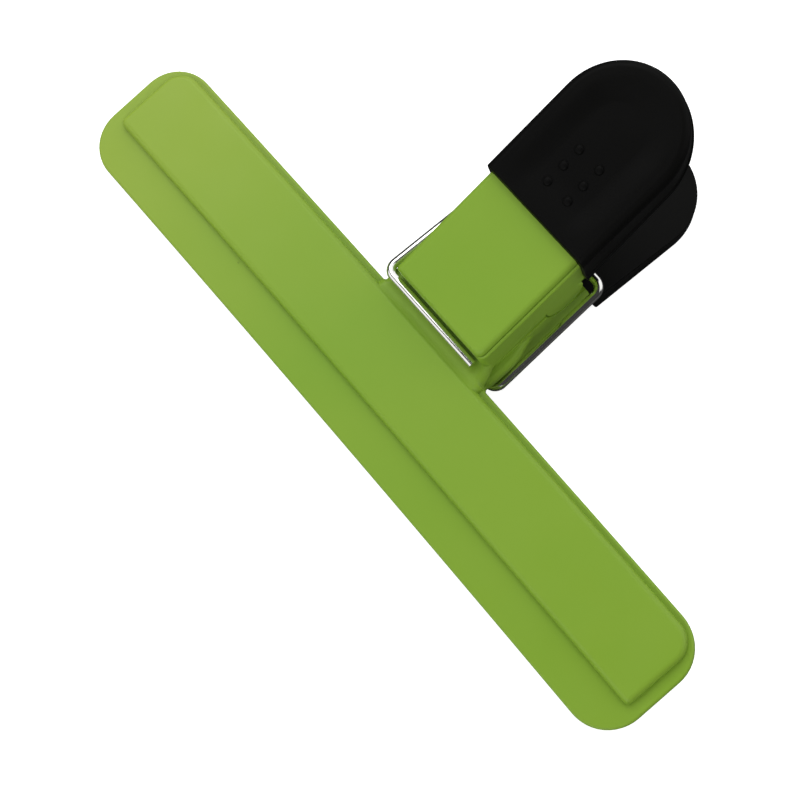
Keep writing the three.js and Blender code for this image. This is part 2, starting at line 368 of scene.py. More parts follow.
@dataclass
class JawMoulding:
    """One T-shaped plastic half: jaw bar, root, hollow handle and the tongue inside the grip."""

    settling: Settling
    finish: bpy.types.Material
    length: float = 150.0
    height: float = 25.4
    corner: float = 8.0
    bow: float = 0.4
    plate_inside: float = 0.6
    plate_face: float = 2.2
    plateau_face: float = 4.0
    lip_width: float = 8.1
    end_rim: float = 2.6
    top_rim: float = 1.2
    plateau_low_corner: float = 1.2
    plateau_top_corner: float = 4.5
    edge_round: float = 0.5
    plateau_round: float = 1.1
    foot_fillet: float = 0.3
    root_half_width: float = 13.3
    root_fillet: float = 1.0
    root_floor: float = 3.3
    root_roll: float = 1.9
    wide_side: float = 13.6
    wide_roll: float = 0.8
    toe: float = 1.1
    shell_half_width: float = 11.75
    shell_end: float = 52.15
    walls_end: float = 51.9
    shell_corners: tuple[float, float] = (0.6, 1.5)
    wall: float = 1.8
    wall_low: Incline = Incline(28.6, MEETING_Z, 0.21)
    tall_low: Incline = Incline(28.6, -0.06, 0.088)
    ledge_round: float = 0.5
    groove: float = 0.2
    pad_step: float = 1.05
    pad_round: float = 1.05
    tall_round: float = 1.3
    tall_setback: float = 0.7
    face_step: float = 0.03
    floor_step: float = 0.02
    shoulder_root: float = 30.0
    shoulder_overrun: float = 0.17
    shoulder_sink: float = 1.2
    shoulder_start: float = 32.2
    shoulder_end: float = 41.0
    ear_y: float = 47.45
    ear_z: float = 2.35
    ear_reach: float = 4.3
    ear_drop: float = 4.15
    ear_clearance: float = 0.4
    tongue_half_width: float = 9.8
    tongue_drop: float = 1.2
    tongue_thickness: float = 2.4
    tongue_tip: float = 64.2
    tongue_edge: float = 0.4
    tongue_bury: float = 0.6
    rib_half_width: float = 8.5
    rib_thickness: float = 2.4
    rib_foot: float = 0.65
    seat_radius: float = 1.05

    def build(self, side: Side) -> bpy.types.Object:
        """Makes one half's moulding in place of its CAD node.

        Args:
            side: The half to make.

        Returns:
            The finished piece.
        """
        piece = self._bar(f"{side.word}_jaw_moulding")
        parts = (
            self._root(),
            self._shoulder(),
            self._shell(),
            self._tongue(),
            self._rib(),
            self._tall_wall(),
            self._ear(),
        )
        for part in parts:
            shaped(piece, part, Cut.JOIN)
        piece.data.materials.clear()
        piece.data.materials.append(self.finish)
        self.settling.apply(piece, side, Slot.JAW)
        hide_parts(f"{side.word}_jaw")
        return piece

    def _bar_plan(self, half: float, low: float, high: float, corners: tuple[float, float]) -> Plan:
        """The outline of a bar whose long edges bow towards the handle.

        Args:
            half: Half its length.
            low: Its lower edge.
            high: Its upper edge.
            corners: Radius of its lower and of its upper corners.

        Returns:
            The outline from the left end's middle along the lower edge and back.
        """
        steps, long_steps = 12, 40
        low_r, high_r = corners
        middle = (low + high) / 2
        lower = [(-half, middle - 0.5)]
        lower += arc(-half + low_r, low + low_r, low_r, 180, 270, steps)
        lower += line((-half + low_r, low), (half - low_r, low), long_steps)
        lower += arc(half - low_r, low + low_r, low_r, 270, 360, steps)
        lower.append((half, middle - 0.5))
        upper = [(half, middle + 0.5)]
        upper += arc(half - high_r, high - high_r, high_r, 0, 90, steps)
        upper += line((half - high_r, high), (-half + high_r, high), long_steps)
        upper += arc(-half + high_r, high - high_r, high_r, 90, 180, steps)
        upper.append((-half, middle + 0.5))
        return [(x, y + self._bow(x, half)) for x, y in lower + upper]

    def _bow(self, x: float, half: float) -> float:
        """How far the bar's long edges bow at x."""
        return self.bow * max(0.0, 1 - (x / half) ** 2)

    def _bar(self, name: str) -> bpy.types.Object:
        """The jaw bar: a rounded plate with a raised plateau, as one skin."""
        half = self.length / 2
        plate = (half, 0.0, self.height, (self.corner, self.corner))
        plateau = (
            half - self.end_rim,
            self.lip_width,
            self.height - self.top_rim,
            (self.plateau_low_corner, self.plateau_top_corner),
        )
        rings = []

        def add(outline: tuple, inset: float, z: float) -> None:
            """Adds the ring of one outline, drawn in by inset, at height z."""
            half_now, low, high, corners = outline
            shrunk = tuple(radius - inset for radius in corners)
            plan = self._bar_plan(half_now - inset, low + inset, high - inset, shrunk)
            rings.append([(x, y, z) for x, y in plan])

        for inset, drop in reversed(rounding(self.edge_round, 4)):
            add(plate, inset, self.plate_inside + drop)
        for inset, drop in rounding(self.edge_round, 4):
            add(plate, inset, self.plate_face - drop)
        for inset, drop in rounding(self.foot_fillet, 3):
            add(plateau, drop - 0.05, self.plate_face + inset)
        for inset, drop in rounding(self.plateau_round, 7):
            add(plateau, inset + 0.05, self.plateau_face - drop)
        return skin(name, rings)

    def _root(self) -> bpy.types.Object:
        """The root between bar and handle, whose sides roll over into the walls."""
        rings = []
        stations = [23.0, 23.6, 24.2, 24.7, 25.1, 25.4, 25.7]
        stations += [25.8 + 0.1 * i for i in range(1, 10)]
        stations += [27.0, 27.6, 28.2, 28.8, 29.4, 30.0, 30.6, 31.2]
        for y in stations:
            top = self._root_top(y)
            half = self._root_half(y)
            widening = smooth((y - 25.6) / 1.6)
            left_half = half + widening * (self.wide_side - self.root_half_width)
            left_roll = self.root_roll + widening * (self.wide_roll - self.root_roll)
            sides = []
            right_half = half - self._root_waist(y)
            for reach, roll in ((left_half, left_roll), (right_half, self.root_roll)):
                side = [(0.5, MEETING_Z)]
                side += arc(reach - self.toe, MEETING_Z + self.toe, self.toe, -90, 0, 6)
                side += arc(reach - roll, top - roll, roll, 0, 90, 10)
                side += [(0.5, top)]
                sides.append(side)
            left, right = sides
            section = right + [(-x, z) for x, z in reversed(left)]
            rings.append([(x, y, z) for x, z in section])
        rings.reverse()
        return skin("root", rings)

    def _root_half(self, y: float) -> float:
        """Half the root's width at y, with a small fillet at the bar."""
        edge = self.height + self._bow(self.root_half_width, self.length / 2)
        up = min(1.0, max(0.0, (y - edge) / self.root_fillet))
        fillet = self.root_fillet * (1 - math.sqrt(1 - (1 - up) ** 2))
        return self.root_half_width + fillet

    def _root_waist(self, y: float) -> float:
        """How far the root's right side has drawn in to the wall with the ear at y."""
        return smooth((y - 26.4) / 4.8) * (self.root_half_width - self.shell_half_width + 0.1)

    def _root_top(self, y: float) -> float:
        """Height of the root's face at y: it falls from the plateau to the wire's channel."""
        fall = smooth((y - 23.2) / 2.2)
        high = self.plateau_face - self.face_step
        return high - fall * (high - self.root_floor)

    def _shoulder(self) -> bpy.types.Object:
        """The root's wide side beside the tall wall, which runs into the wall past the wire."""
        rings = []
        inner = self.shell_half_width - self.wall + 0.4
        roll, toe, top = self.wide_roll, self.toe, self.root_floor - self.floor_step
        low = MEETING_Z + self.floor_step
        narrowing = self.wide_side - self.shell_half_width + self.shoulder_overrun
        start, end, steps = self.shoulder_root, self.shoulder_end, 16
        for i in range(steps + 1):
            y = start + (end - start) * i / steps
            gone = smooth((y - self.shoulder_start) / (end - self.shoulder_start))
            half = self.wide_side - self.face_step - gone * narrowing
            sink = low + self.shoulder_sink * gone
            upper = [(inner, top)] + arc(half - roll, top - roll, roll, 90, 0, 8)
            lower = [(inner, sink)] + arc(half - toe, sink + toe * (1 - 0.5 * gone), toe, -90, 0, 8)
            section = [(-x, z) for x, z in reversed(lower)] + [(-x, z) for x, z in upper]
            rings.append([(x, y, max(z, low)) for x, z in section])
        rings.reverse()
        return skin("shoulder", rings)

    def _shell(self) -> bpy.types.Object:
        """The handle's hollow shell with the pad raised on it."""
        rings = []
        half = self.shell_half_width

        def add(left: tuple[float, float], right: tuple[float, float], low_inset: float) -> None:
            """Adds a ring with the inset and the depth below the pad that each side has."""
            ring = []
            for x, y in self._handle_plan(left[0], right[0], low_inset):
                share = (x + half) / (2 * half)
                drop = left[1] + (right[1] - left[1]) * share
                ring.append((x, y, PAD_PLANE.z(y) - drop))
            rings.append(ring)

        for inset, rise in reversed(rounding(0.2, 2)):
            plan = self._handle_plan(inset, inset, 0.0)
            rings.append([(x, y, self.wall_low.z(y) + rise) for x, y in plan])
        for i, (inset, drop) in enumerate(rounding(self.ledge_round, 4)):
            straight = self.tall_round + 0.9 - 0.2 * i
            add((0.0, straight), (inset, self.pad_step + drop), 0.0)
        foot = self.ledge_round + 0.06
        add((0.0, self.tall_round + 0.05), (foot, self.pad_step + self.groove), 0.0)
        tall = rounding(self.tall_round, 8)
        for (left_in, left_drop), (inset, drop) in zip(tall, rounding(self.pad_round, 8)):
            add((left_in, left_drop), (foot + 0.06 + inset, drop), 0.6 * inset)
        shell = skin("shell", rings)
        shaped(shell, self._hollow(), Cut.CARVE, folded=True)
        welded(shell.data, self.settling.least_edge)
        return shell

    def _handle_plan(self, left_inset: float, right_inset: float, low_inset: float) -> Plan:
        """The handle's outline, with rounded corners beside the wire's channel.

        Args:
            left_inset: How far the left side is drawn in.
            right_inset: How far the right side is drawn in.
            low_inset: How far the low end is drawn in.

        Returns:
            The outline, from the middle of the low end round and back.
        """
        low = PAD_PLANE.start_y + low_inset
        sides = []
        for inset, radius in zip((left_inset, right_inset), self.shell_corners):
            half = self.shell_half_width - inset
            side = [(MIDDLE_MM, low), (half / 2, low)]
            side += arc(half - radius, low + radius, radius, -90, 0, 8)
            side += [(half, 33.0)]
            side += line((half, 33.0), (half, self.shell_end), 6)
            side += [(half, self.shell_end), (MIDDLE_MM, self.shell_end)]
            sides.append(side)
        left, right = sides
        return right + [(-x, y) for x, y in reversed(left)]

    def _tall_wall(self) -> bpy.types.Object:
        """The left wall's lower part, which closes the other half's open side."""
        inner = -self.shell_half_width + self.wall
        outer = -self.shell_half_width + 0.01
        start, end, steps = PAD_PLANE.start_y + self.tall_setback, self.walls_end, 24
        rings = []
        for inset, rise in reversed(rounding(0.2, 2)):
            rings.append(self._wall_ring((outer + inset, inner - inset), (start, end), steps, rise))
        top = self._wall_ring((outer, inner), (start, end), steps, 0.0)
        rings.append([(x, y, self.wall_low.z(y) + 1.0) for x, y, _ in top])
        wall = skin("tall wall", rings)
        shaped(wall, self._ear_recess(), Cut.CARVE)
        shaped(wall, self._beyond_ear(), Cut.CARVE)
        return wall

    def _wall_ring(
        self, across: tuple[float, float], along: tuple[float, float], steps: int, rise: float
    ) -> Ring:
        """A ring round the tall wall's section, at its sloping low edge.

        Args:
            across: The wall's outer and inner x.
            along: Its first and last y.
            steps: Number of parts along it.
            rise: Height above its low edge.

        Returns:
            The ring, up the inner face and back down the outer one.
        """
        stations = [along[0] + (along[1] - along[0]) * i / steps for i in range(steps + 1)]
        there = [(across[1], y) for y in stations]
        back = [(across[0], y) for y in reversed(stations)]
        return [(x, y, rise - self.tall_low.z(y)) for x, y in there + back]

    def _ear_recess(self) -> bpy.types.Object:
        """The round clearance in the tall wall for the other half's ear."""
        reach, drop = self.ear_reach + self.ear_clearance, self.ear_drop + self.ear_clearance
        rings = []
        for x in (-self.shell_half_width - 2, -6.0):
            circle = arc(0.0, 0.0, 1.0, 3, 363, 48)[:-1]
            rings.append([(x, self.ear_y + reach * a, drop * b - self.ear_z) for a, b in circle])
        return skin("ear recess", rings)

    def _beyond_ear(self) -> bpy.types.Object:
        """The end of the tall wall that is left out past the other half's ear."""
        outer, inner = -self.shell_half_width - 2, -6.0
        top = self.ear_drop + self.ear_clearance - self.ear_z
        rings = []
        for z in (-20.0, top):
            plan = [(inner, self.ear_y), (inner, 60.0), (outer, 60.0), (outer, self.ear_y)]
            rings.append([(x, y, z) for x, y in plan])
        return skin("beyond ear", rings)

    def _hollow(self) -> bpy.types.Object:
        """The space carved out of the handle's shell, open below."""
        half = self.shell_half_width - 0.05 - self.wall
        low, high = PAD_PLANE.start_y + self.wall, self.walls_end - self.wall
        rings = []
        roof = self.pad_step + self.wall
        levels = [(0.0, lambda y: -6.0)]
        for inset, drop in rounding(0.8, 4):
            levels.append((inset + 0.1, lambda y, d=drop: PAD_PLANE.z(y) - roof - d))
        for inset, height in levels:
            side, radius = half - inset, 1.2
            start, end = low + inset, high - inset
            right = [(MIDDLE_MM, start)]
            right += arc(side - radius, start + radius, radius, -90, 0, 5)
            right += arc(side - radius, end - radius, radius, 0, 90, 5)
            right += [(MIDDLE_MM, end)]
            rings.append([(x, y, height(y)) for x, y in mirrored(right)])
        return skin("hollow", rings)

    def _ear(self) -> bpy.types.Object:
        """The lobe on the right wall that reaches past the middle, round the rod's side."""
        outer = self.shell_half_width - 0.01
        inner = self.shell_half_width - self.wall
        rings = []
        for inset, x in ((0.2, inner), (0.0, inner + 0.2), (0.0, outer - 0.2), (0.2, outer)):
            ring = []
            for across, up in arc(0.0, 0.0, 1.0, 185, 545, 47)[:-1]:
                y = self.ear_y + (self.ear_reach - inset) * across
                z = self.ear_z + (self.ear_drop - inset) * up
                ring.append((x, y, z))
            rings.append(ring)
        return skin("ear", rings)

    def _tongue(self) -> bpy.types.Object:
        """The flat tongue that the soft grip is pushed over."""
        start = self.walls_end - self.wall + self.tongue_bury
        rings = []
        face = self.tongue_drop
        low = face + self.tongue_thickness
        edge = self.tongue_edge
        levels = [(edge, low), (0.0, low - edge), (0.0, face + edge), (edge, face)]
        for inset, drop in levels:
            half = self.tongue_half_width - inset
            right = [(MIDDLE_MM, start), (half, start), (half, self.tongue_tip)]
            right += arc(0.0, self.tongue_tip, half, 0, 84, 14)[1:]
            rings.append([(x, y, PAD_PLANE.z(y) - drop) for x, y in mirrored(right)])
        return skin("tongue", rings)

    def _rib(self) -> bpy.types.Object:
        """The fulcrum rib, with the seat that bears on the rod."""
        half = self.rib_thickness / 2
        rings = []
        top = PAD_PLANE.z(ROD_Y) - self.tongue_drop - 1.0
        for z in (self.rib_foot, top):
            right = [(MIDDLE_MM, ROD_Y - half), (self.rib_half_width, ROD_Y - half)]
            right += [(self.rib_half_width, ROD_Y + half), (MIDDLE_MM, ROD_Y + half)]
            rings.append([(x, y, z) for x, y in mirrored(right)])
        rib = skin("rib", rings)
        seat_rings = []
        for x in (-self.rib_half_width - 2, self.rib_half_width + 2):
            circle = arc(0.0, 0.0, self.seat_radius, 4, 364, 48)[:-1]
            seat_rings.append([(x, ROD_Y + a, b) for a, b in circle])
        shaped(rib, skin("seat", seat_rings), Cut.CARVE)
        return rib


def smooth(share: float) -> float:
    """Eases from 0 to 1 as share goes from 0 to 1, flat at both ends."""
    share = min(1.0, max(0.0, share))
    return share * share * (3 - 2 * share)


# Soft grip


@dataclass
class SoftGrip:
    """The soft boot over each handle's end, with its thumb bumps."""

    settling: Settling
    finish: bpy.types.Material
    start: float = 52.2
    half_width: float = 12.8
    tip_centre: float = 71.45
    rise: float = 1.73
    shoulder: float = 1.7
    side_draft: float = 0.1
    rim: float = 1.0
    dish: float = 0.6
    dish_run: float = 5.0
    foot_round: float = 0.3
    bead: float = 0.3
    mouth_round: float = 0.45
    mouth_draft: float = 0.04
    skirt: Incline = Incline(52.2, 7.44, 0.33)
    pocket_gap: float = 0.3
    rib_window_end: float = 57.0
    bump_start: float = 57.8
    bump_pitch: float = 3.7
    bump_rows: int = 3
    bump_spread: float = 5.1
    bump_radius: float = 0.9
    bump_height: float = 0.42

    def build(self, side: Side, jaw: JawMoulding) -> list[bpy.types.Object]:
        """Makes one boot and its bumps in place of the CAD node.

        Args:
            side: The half it is pushed over.
            jaw: The moulding whose tongue it holds.

        Returns:
            The boot and its bumps.
        """
        boot = self._boot(f"{side.word}_grip_boot")
        bumps = self._bumps(f"{side.word}_grip_bumps", boot)
        shaped(boot, self._pocket(jaw), Cut.CARVE)
        shaped(boot, self._rib_window(jaw), Cut.CARVE)
        boot.data.materials.clear()
        boot.data.materials.append(self.finish)
        for piece in (boot, bumps):
            self.settling.apply(piece, side, Slot.GRIP)
        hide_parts(f"{side.word}_grip")
        return [boot, bumps]

    def _plan(self, inset: float, mouth_inset: float) -> Plan:
        """The boot's outline: straight sides and a half-round tip.

        Args:
            inset: How far the sides and tip are drawn in.
            mouth_inset: How far the mouth's edge is drawn in.

        Returns:
            The outline, from the middle of the mouth round and back.
        """
        half = self.half_width - inset
        start = self.start + mouth_inset
        right = [(MIDDLE_MM, start), (half / 2, start), (half - 0.5, start)]
        right += arc(half - 0.3, start + 0.3, 0.3, -90, 0, 3)
        right += line((half, start + 0.3), (half, self.tip_centre), 14)
        right += arc(0.0, self.tip_centre, half, 0, 88.5, 30)
        return mirrored(right)

    def _top(self, y: float) -> float:
        """The boot's outer face before it is dished."""
        return PAD_PLANE.z(y) + self.rise

    def _boot(self, name: str) -> bpy.types.Object:
        """The boot's skin: rounded foot, drafted side, soft shoulder, rim and dished face."""
        rings = []

        def add(inset: float, height: Callable[[float], float], drop: float) -> None:
            """Adds a ring at a height that depends on y; drop is its depth below the face."""
            within = max(0.0, self.mouth_round - drop)
            mouth = self.mouth_round - math.sqrt(self.mouth_round**2 - within**2)
            mouth += self.mouth_draft * max(0.0, inset)
            rings.append([(x, y, height(y)) for x, y in self._plan(inset, mouth)])

        for inset, drop in reversed(rounding(self.foot_round, 4)):
            add(inset - self.bead, lambda y, d=drop: self.skirt.z(y) + d, 9.0)
        for inset, rise in rounding(self.bead, 4):
            add(inset - self.bead, lambda y, r=rise: self.skirt.z(y) + 0.75 - r, 9.0)
        for inset, drop in rounding(self.shoulder, 12):
            add(self.side_draft + inset, lambda y, d=drop: self._top(y) - d, drop)
        edge = self.side_draft + self.shoulder + self.rim
        add(edge, self._top, 0.0)
        steps = 12
        for i in range(1, steps + 1):
            share = i / steps
            inset = edge + self.dish_run * share
            add(inset, lambda y, s=share: self._top(y) - self._dish(s, y), 0.0)
        return skin(name, rings)

    def _dish(self, share: float, y: float) -> float:
        """How deep the face is dished at a share of the way in from its rim, at y."""
        return self.dish * smooth(share) * smooth((y - self.start) / 8.0)

    def _pocket(self, jaw: JawMoulding) -> bpy.types.Object:
        """The pocket that holds the tongue."""
        gap = self.pocket_gap
        half = jaw.tongue_half_width + gap
        rings = []
        face = jaw.tongue_drop - gap
        low = jaw.tongue_drop + jaw.tongue_thickness + gap
        for drop in (low, face):
            right = [(MIDDLE_MM, self.start - 1), (half, self.start - 1), (half, jaw.tongue_tip)]
            right += arc(0.0, jaw.tongue_tip, half, 0, 84, 14)[1:]
            rings.append([(x, y, PAD_PLANE.z(y) - drop) for x, y in mirrored(right)])
        return skin("pocket", rings)

    def _rib_window(self, jaw: JawMoulding) -> bpy.types.Object:
        """The opening in the boot's inner face that the fulcrum rib passes through."""
        half = jaw.rib_half_width + self.pocket_gap
        rings = []
        for z in (0.0, PAD_PLANE.z(self.start) - jaw.tongue_drop - 1.0):
            right = [(MIDDLE_MM, self.start - 1), (half, self.start - 1)]
            right += [(half, self.rib_window_end), (MIDDLE_MM, self.rib_window_end)]
            rings.append([(x, y, z) for x, y in mirrored(right)])
        return skin("rib window", rings)

    def _bumps(self, name: str, boot: bpy.types.Object) -> bpy.types.Object:
        """The low domes under the thumb, scattered by Geometry Nodes onto the boot's face.

        Args:
            name: Name of the piece.
            boot: The boot whose face they stand on.

        Returns:
            The bumps as one plain mesh.
        """
        tree = bpy.data.node_groups.new("thumb bumps", "GeometryNodeTree")
        sockets = {}
        for label, kind, value in (
            ("Rows", "NodeSocketInt", self.bump_rows),
            ("Row Pitch", "NodeSocketFloat", self.bump_pitch),
            ("Spread", "NodeSocketFloat", self.bump_spread),
            ("First Row", "NodeSocketFloat", self.bump_start),
            ("Bump Radius", "NodeSocketFloat", self.bump_radius),
            ("Bump Height", "NodeSocketFloat", self.bump_height),
            ("Boot", "NodeSocketObject", boot),
            ("Finish", "NodeSocketMaterial", self.finish),
        ):
            socket = tree.interface.new_socket(label, in_out="INPUT", socket_type=kind)
            sockets[socket.identifier] = value
        tree.interface.new_socket("Bumps", in_out="OUTPUT", socket_type="NodeSocketGeometry")
        inputs = tree.nodes.new("NodeGroupInput")
        outputs = tree.nodes.new("NodeGroupOutput")

        row_line = tree.nodes.new("GeometryNodeMeshLine")
        row_line.label = "One point for each row"
        row_start = tree.nodes.new("ShaderNodeCombineXYZ")
        row_step = tree.nodes.new("ShaderNodeCombineXYZ")
        half_spread = tree.nodes.new("ShaderNodeMath")
        half_spread.operation = "MULTIPLY"
        half_spread.inputs[1].default_value = -0.5
        pair_step = tree.nodes.new("ShaderNodeCombineXYZ")
        pair_line = tree.nodes.new("GeometryNodeMeshLine")
        pair_line.label = "Two points across each row"
        pair_line.inputs["Count"].default_value = 2
        rows = tree.nodes.new("GeometryNodeInstanceOnPoints")
        rows_real = tree.nodes.new("GeometryNodeRealizeInstances")
        boot_info = tree.nodes.new("GeometryNodeObjectInfo")
        onto = tree.nodes.new("GeometryNodeRaycast")
        onto.label = "Drop each point onto the boot"
        onto.inputs["Ray Direction"].default_value = (0.0, 0.0, -1.0)
        onto.inputs["Ray Length"].default_value = 100.0
        landed = tree.nodes.new("GeometryNodeSetPosition")
        lean = tree.nodes.new("FunctionNodeAlignRotationToVector")
        lean.axis = "Z"
        dome = tree.nodes.new("GeometryNodeMeshUVSphere")
        dome.inputs["Segments"].default_value = 28
        dome.inputs["Rings"].default_value = 16
        dome.inputs["Radius"].default_value = 1.0
        dome_size = tree.nodes.new("ShaderNodeCombineXYZ")
        domes = tree.nodes.new("GeometryNodeInstanceOnPoints")
        real = tree.nodes.new("GeometryNodeRealizeInstances")
        finish = tree.nodes.new("GeometryNodeSetMaterial")
        for column, nodes in enumerate(
            (
                (inputs, half_spread),
                (row_start, row_step, pair_step),
                (row_line, pair_line, boot_info),
                (rows, rows_real),
                (onto, landed),
                (dome, dome_size, lean),
                (domes, real, finish, outputs),
            )
        ):
            for row, node in enumerate(nodes):
                node.location = (column * 230, -row * 220)

        link = tree.links.new
        link(inputs.outputs["Spread"], half_spread.inputs[0])
        link(half_spread.outputs[0], row_start.inputs["X"])
        link(inputs.outputs["First Row"], row_start.inputs["Y"])
        row_start.inputs["Z"].default_value = 60.0
        link(inputs.outputs["Row Pitch"], row_step.inputs["Y"])
        link(inputs.outputs["Spread"], pair_step.inputs["X"])
        link(inputs.outputs["Rows"], row_line.inputs["Count"])
        link(row_start.outputs[0], row_line.inputs["Start Location"])
        link(row_step.outputs[0], row_line.inputs["Offset"])
        link(pair_step.outputs[0], pair_line.inputs["Offset"])
        link(row_line.outputs[0], rows.inputs["Points"])
        link(pair_line.outputs[0], rows.inputs["Instance"])
        link(rows.outputs[0], rows_real.inputs[0])
        link(inputs.outputs["Boot"], boot_info.inputs["Object"])
        link(boot_info.outputs["Geometry"], onto.inputs["Target Geometry"])
        link(rows_real.outputs[0], landed.inputs["Geometry"])
        link(onto.outputs["Hit Position"], landed.inputs["Position"])
        link(onto.outputs["Hit Normal"], lean.inputs["Vector"])
        link(inputs.outputs["Bump Radius"], dome_size.inputs["X"])
        link(inputs.outputs["Bump Radius"], dome_size.inputs["Y"])
        link(inputs.outputs["Bump Height"], dome_size.inputs["Z"])
        link(landed.outputs[0], domes.inputs["Points"])
        link(dome.outputs["Mesh"], domes.inputs["Instance"])
        link(lean.outputs[0], domes.inputs["Rotation"])
        link(dome_size.outputs[0], domes.inputs["Scale"])
        link(domes.outputs[0], real.inputs[0])
        link(real.outputs[0], finish.inputs["Geometry"])
        link(inputs.outputs["Finish"], finish.inputs["Material"])
        link(finish.outputs[0], outputs.inputs[0])

        piece = placed(name, bpy.data.meshes.new(name))
        scatter = piece.modifiers.new("thumb bumps", "NODES")
        scatter.node_group = tree
        for identifier, value in sockets.items():
            scatter[identifier] = value
        baked(piece)
        return piece


# Sealing ridges


@dataclass
class SealingRidges:
    """The long ribs inside each jaw that pinch the bag."""

    settling: Settling
    finish: bpy.types.Material
    half_length: float = 67.0
    bow: float = 0.4
    width: float = 1.2
    depth: float = 1.2
    first: float = 3.5
    pitch: float = 8.5
    rows: int = 3

    def build(self, side: Side) -> bpy.types.Object:
        """Makes one jaw's ridges with Geometry Nodes.

        Args:
            side: The jaw they stand in.

        Returns:
            The ridges as one plain mesh.
        """
        name = f"{side.word}_jaw_ridges"
        piece = placed(name, bpy.data.meshes.new(name))
        rows = piece.modifiers.new("sealing ridges", "NODES")
        tree, values = self._tree()
        rows.node_group = tree
        for identifier, value in values.items():
            rows[identifier] = value
        baked(piece)
        self.settling.apply(piece, side, Slot.JAW)
        return piece

    def _tree(self) -> tuple[bpy.types.NodeTree, dict[str, object]]:
        """The tree that sweeps one bowed ridge and repeats it.

        Returns:
            The tree, and the value of each of its inputs by identifier.
        """
        tree = bpy.data.node_groups.new("sealing ridges", "GeometryNodeTree")
        values = {}
        for label, kind, value in (
            ("Half Length", "NodeSocketFloat", self.half_length),
            ("Bow", "NodeSocketFloat", self.bow),
            ("Half Width", "NodeSocketFloat", self.width / 2),
            ("Half Depth", "NodeSocketFloat", self.depth / 2),
            ("First", "NodeSocketFloat", self.first),
            ("Pitch", "NodeSocketFloat", self.pitch),
            ("Rows", "NodeSocketInt", self.rows),
            ("Centre Height", "NodeSocketFloat", MEETING_Z + self.depth / 2),
            ("Finish", "NodeSocketMaterial", self.finish),
        ):
            socket = tree.interface.new_socket(label, in_out="INPUT", socket_type=kind)
            values[socket.identifier] = value
        tree.interface.new_socket("Ridges", in_out="OUTPUT", socket_type="NodeSocketGeometry")
        inputs = tree.nodes.new("NodeGroupInput")
        outputs = tree.nodes.new("NodeGroupOutput")
        left = tree.nodes.new("ShaderNodeMath")
        left.operation = "MULTIPLY"
        left.inputs[1].default_value = -1.0
        rise = tree.nodes.new("ShaderNodeMath")
        rise.operation = "MULTIPLY"
        rise.inputs[1].default_value = 2.0
        start = tree.nodes.new("ShaderNodeCombineXYZ")
        middle = tree.nodes.new("ShaderNodeCombineXYZ")
        end = tree.nodes.new("ShaderNodeCombineXYZ")
        spine = tree.nodes.new("GeometryNodeCurveQuadraticBezier")
        spine.label = "Bowed spine of a ridge"
        spine.inputs["Resolution"].default_value = 48
        circle = tree.nodes.new("GeometryNodeCurvePrimitiveCircle")
        circle.inputs["Resolution"].default_value = 20
        circle.inputs["Radius"].default_value = 1.0
        nose_size = tree.nodes.new("ShaderNodeCombineXYZ")
        nose_size.inputs["Z"].default_value = 1.0
        nose = tree.nodes.new("GeometryNodeTransform")
        nose.label = "Section of a ridge"
        sweep = tree.nodes.new("GeometryNodeCurveToMesh")
        sweep.inputs["Fill Caps"].default_value = True
        row_start = tree.nodes.new("ShaderNodeCombineXYZ")
        row_step = tree.nodes.new("ShaderNodeCombineXYZ")
        row_line = tree.nodes.new("GeometryNodeMeshLine")
        row_line.label = "One point for each ridge"
        ridges = tree.nodes.new("GeometryNodeInstanceOnPoints")
        real = tree.nodes.new("GeometryNodeRealizeInstances")
        finish = tree.nodes.new("GeometryNodeSetMaterial")
        for column, nodes in enumerate(
            (
                (inputs, left, rise),
                (start, middle, end),
                (spine, circle, nose_size),
                (nose, sweep),
                (row_start, row_step, row_line),
                (ridges, real, finish, outputs),
            )
        ):
            for row, node in enumerate(nodes):
                node.location = (column * 230, -row * 220)

        link = tree.links.new
        link(inputs.outputs["Half Length"], left.inputs[0])
        link(inputs.outputs["Bow"], rise.inputs[0])
        link(left.outputs[0], start.inputs["X"])
        link(rise.outputs[0], middle.inputs["Y"])
        link(inputs.outputs["Half Length"], end.inputs["X"])
        link(start.outputs[0], spine.inputs["Start"])
        link(middle.outputs[0], spine.inputs["Middle"])
        link(end.outputs[0], spine.inputs["End"])
        link(inputs.outputs["Half Width"], nose_size.inputs["X"])
        link(inputs.outputs["Half Depth"], nose_size.inputs["Y"])
        link(circle.outputs["Curve"], nose.inputs["Geometry"])
        link(nose_size.outputs[0], nose.inputs["Scale"])
        link(spine.outputs[0], sweep.inputs["Curve"])
        link(nose.outputs[0], sweep.inputs["Profile Curve"])
        link(inputs.outputs["First"], row_start.inputs["Y"])
        link(inputs.outputs["Centre Height"], row_start.inputs["Z"])
        link(inputs.outputs["Pitch"], row_step.inputs["Y"])
        link(inputs.outputs["Rows"], row_line.inputs["Count"])
        link(row_start.outputs[0], row_line.inputs["Start Location"])
        link(row_step.outputs[0], row_line.inputs["Offset"])
        link(row_line.outputs[0], ridges.inputs["Points"])
        link(sweep.outputs[0], ridges.inputs["Instance"])
        link(ridges.outputs[0], real.inputs[0])
        link(real.outputs[0], finish.inputs["Geometry"])
        link(inputs.outputs["Finish"], finish.inputs["Material"])
        link(finish.outputs[0], outputs.inputs[0])
        return tree, values


# Spring wire


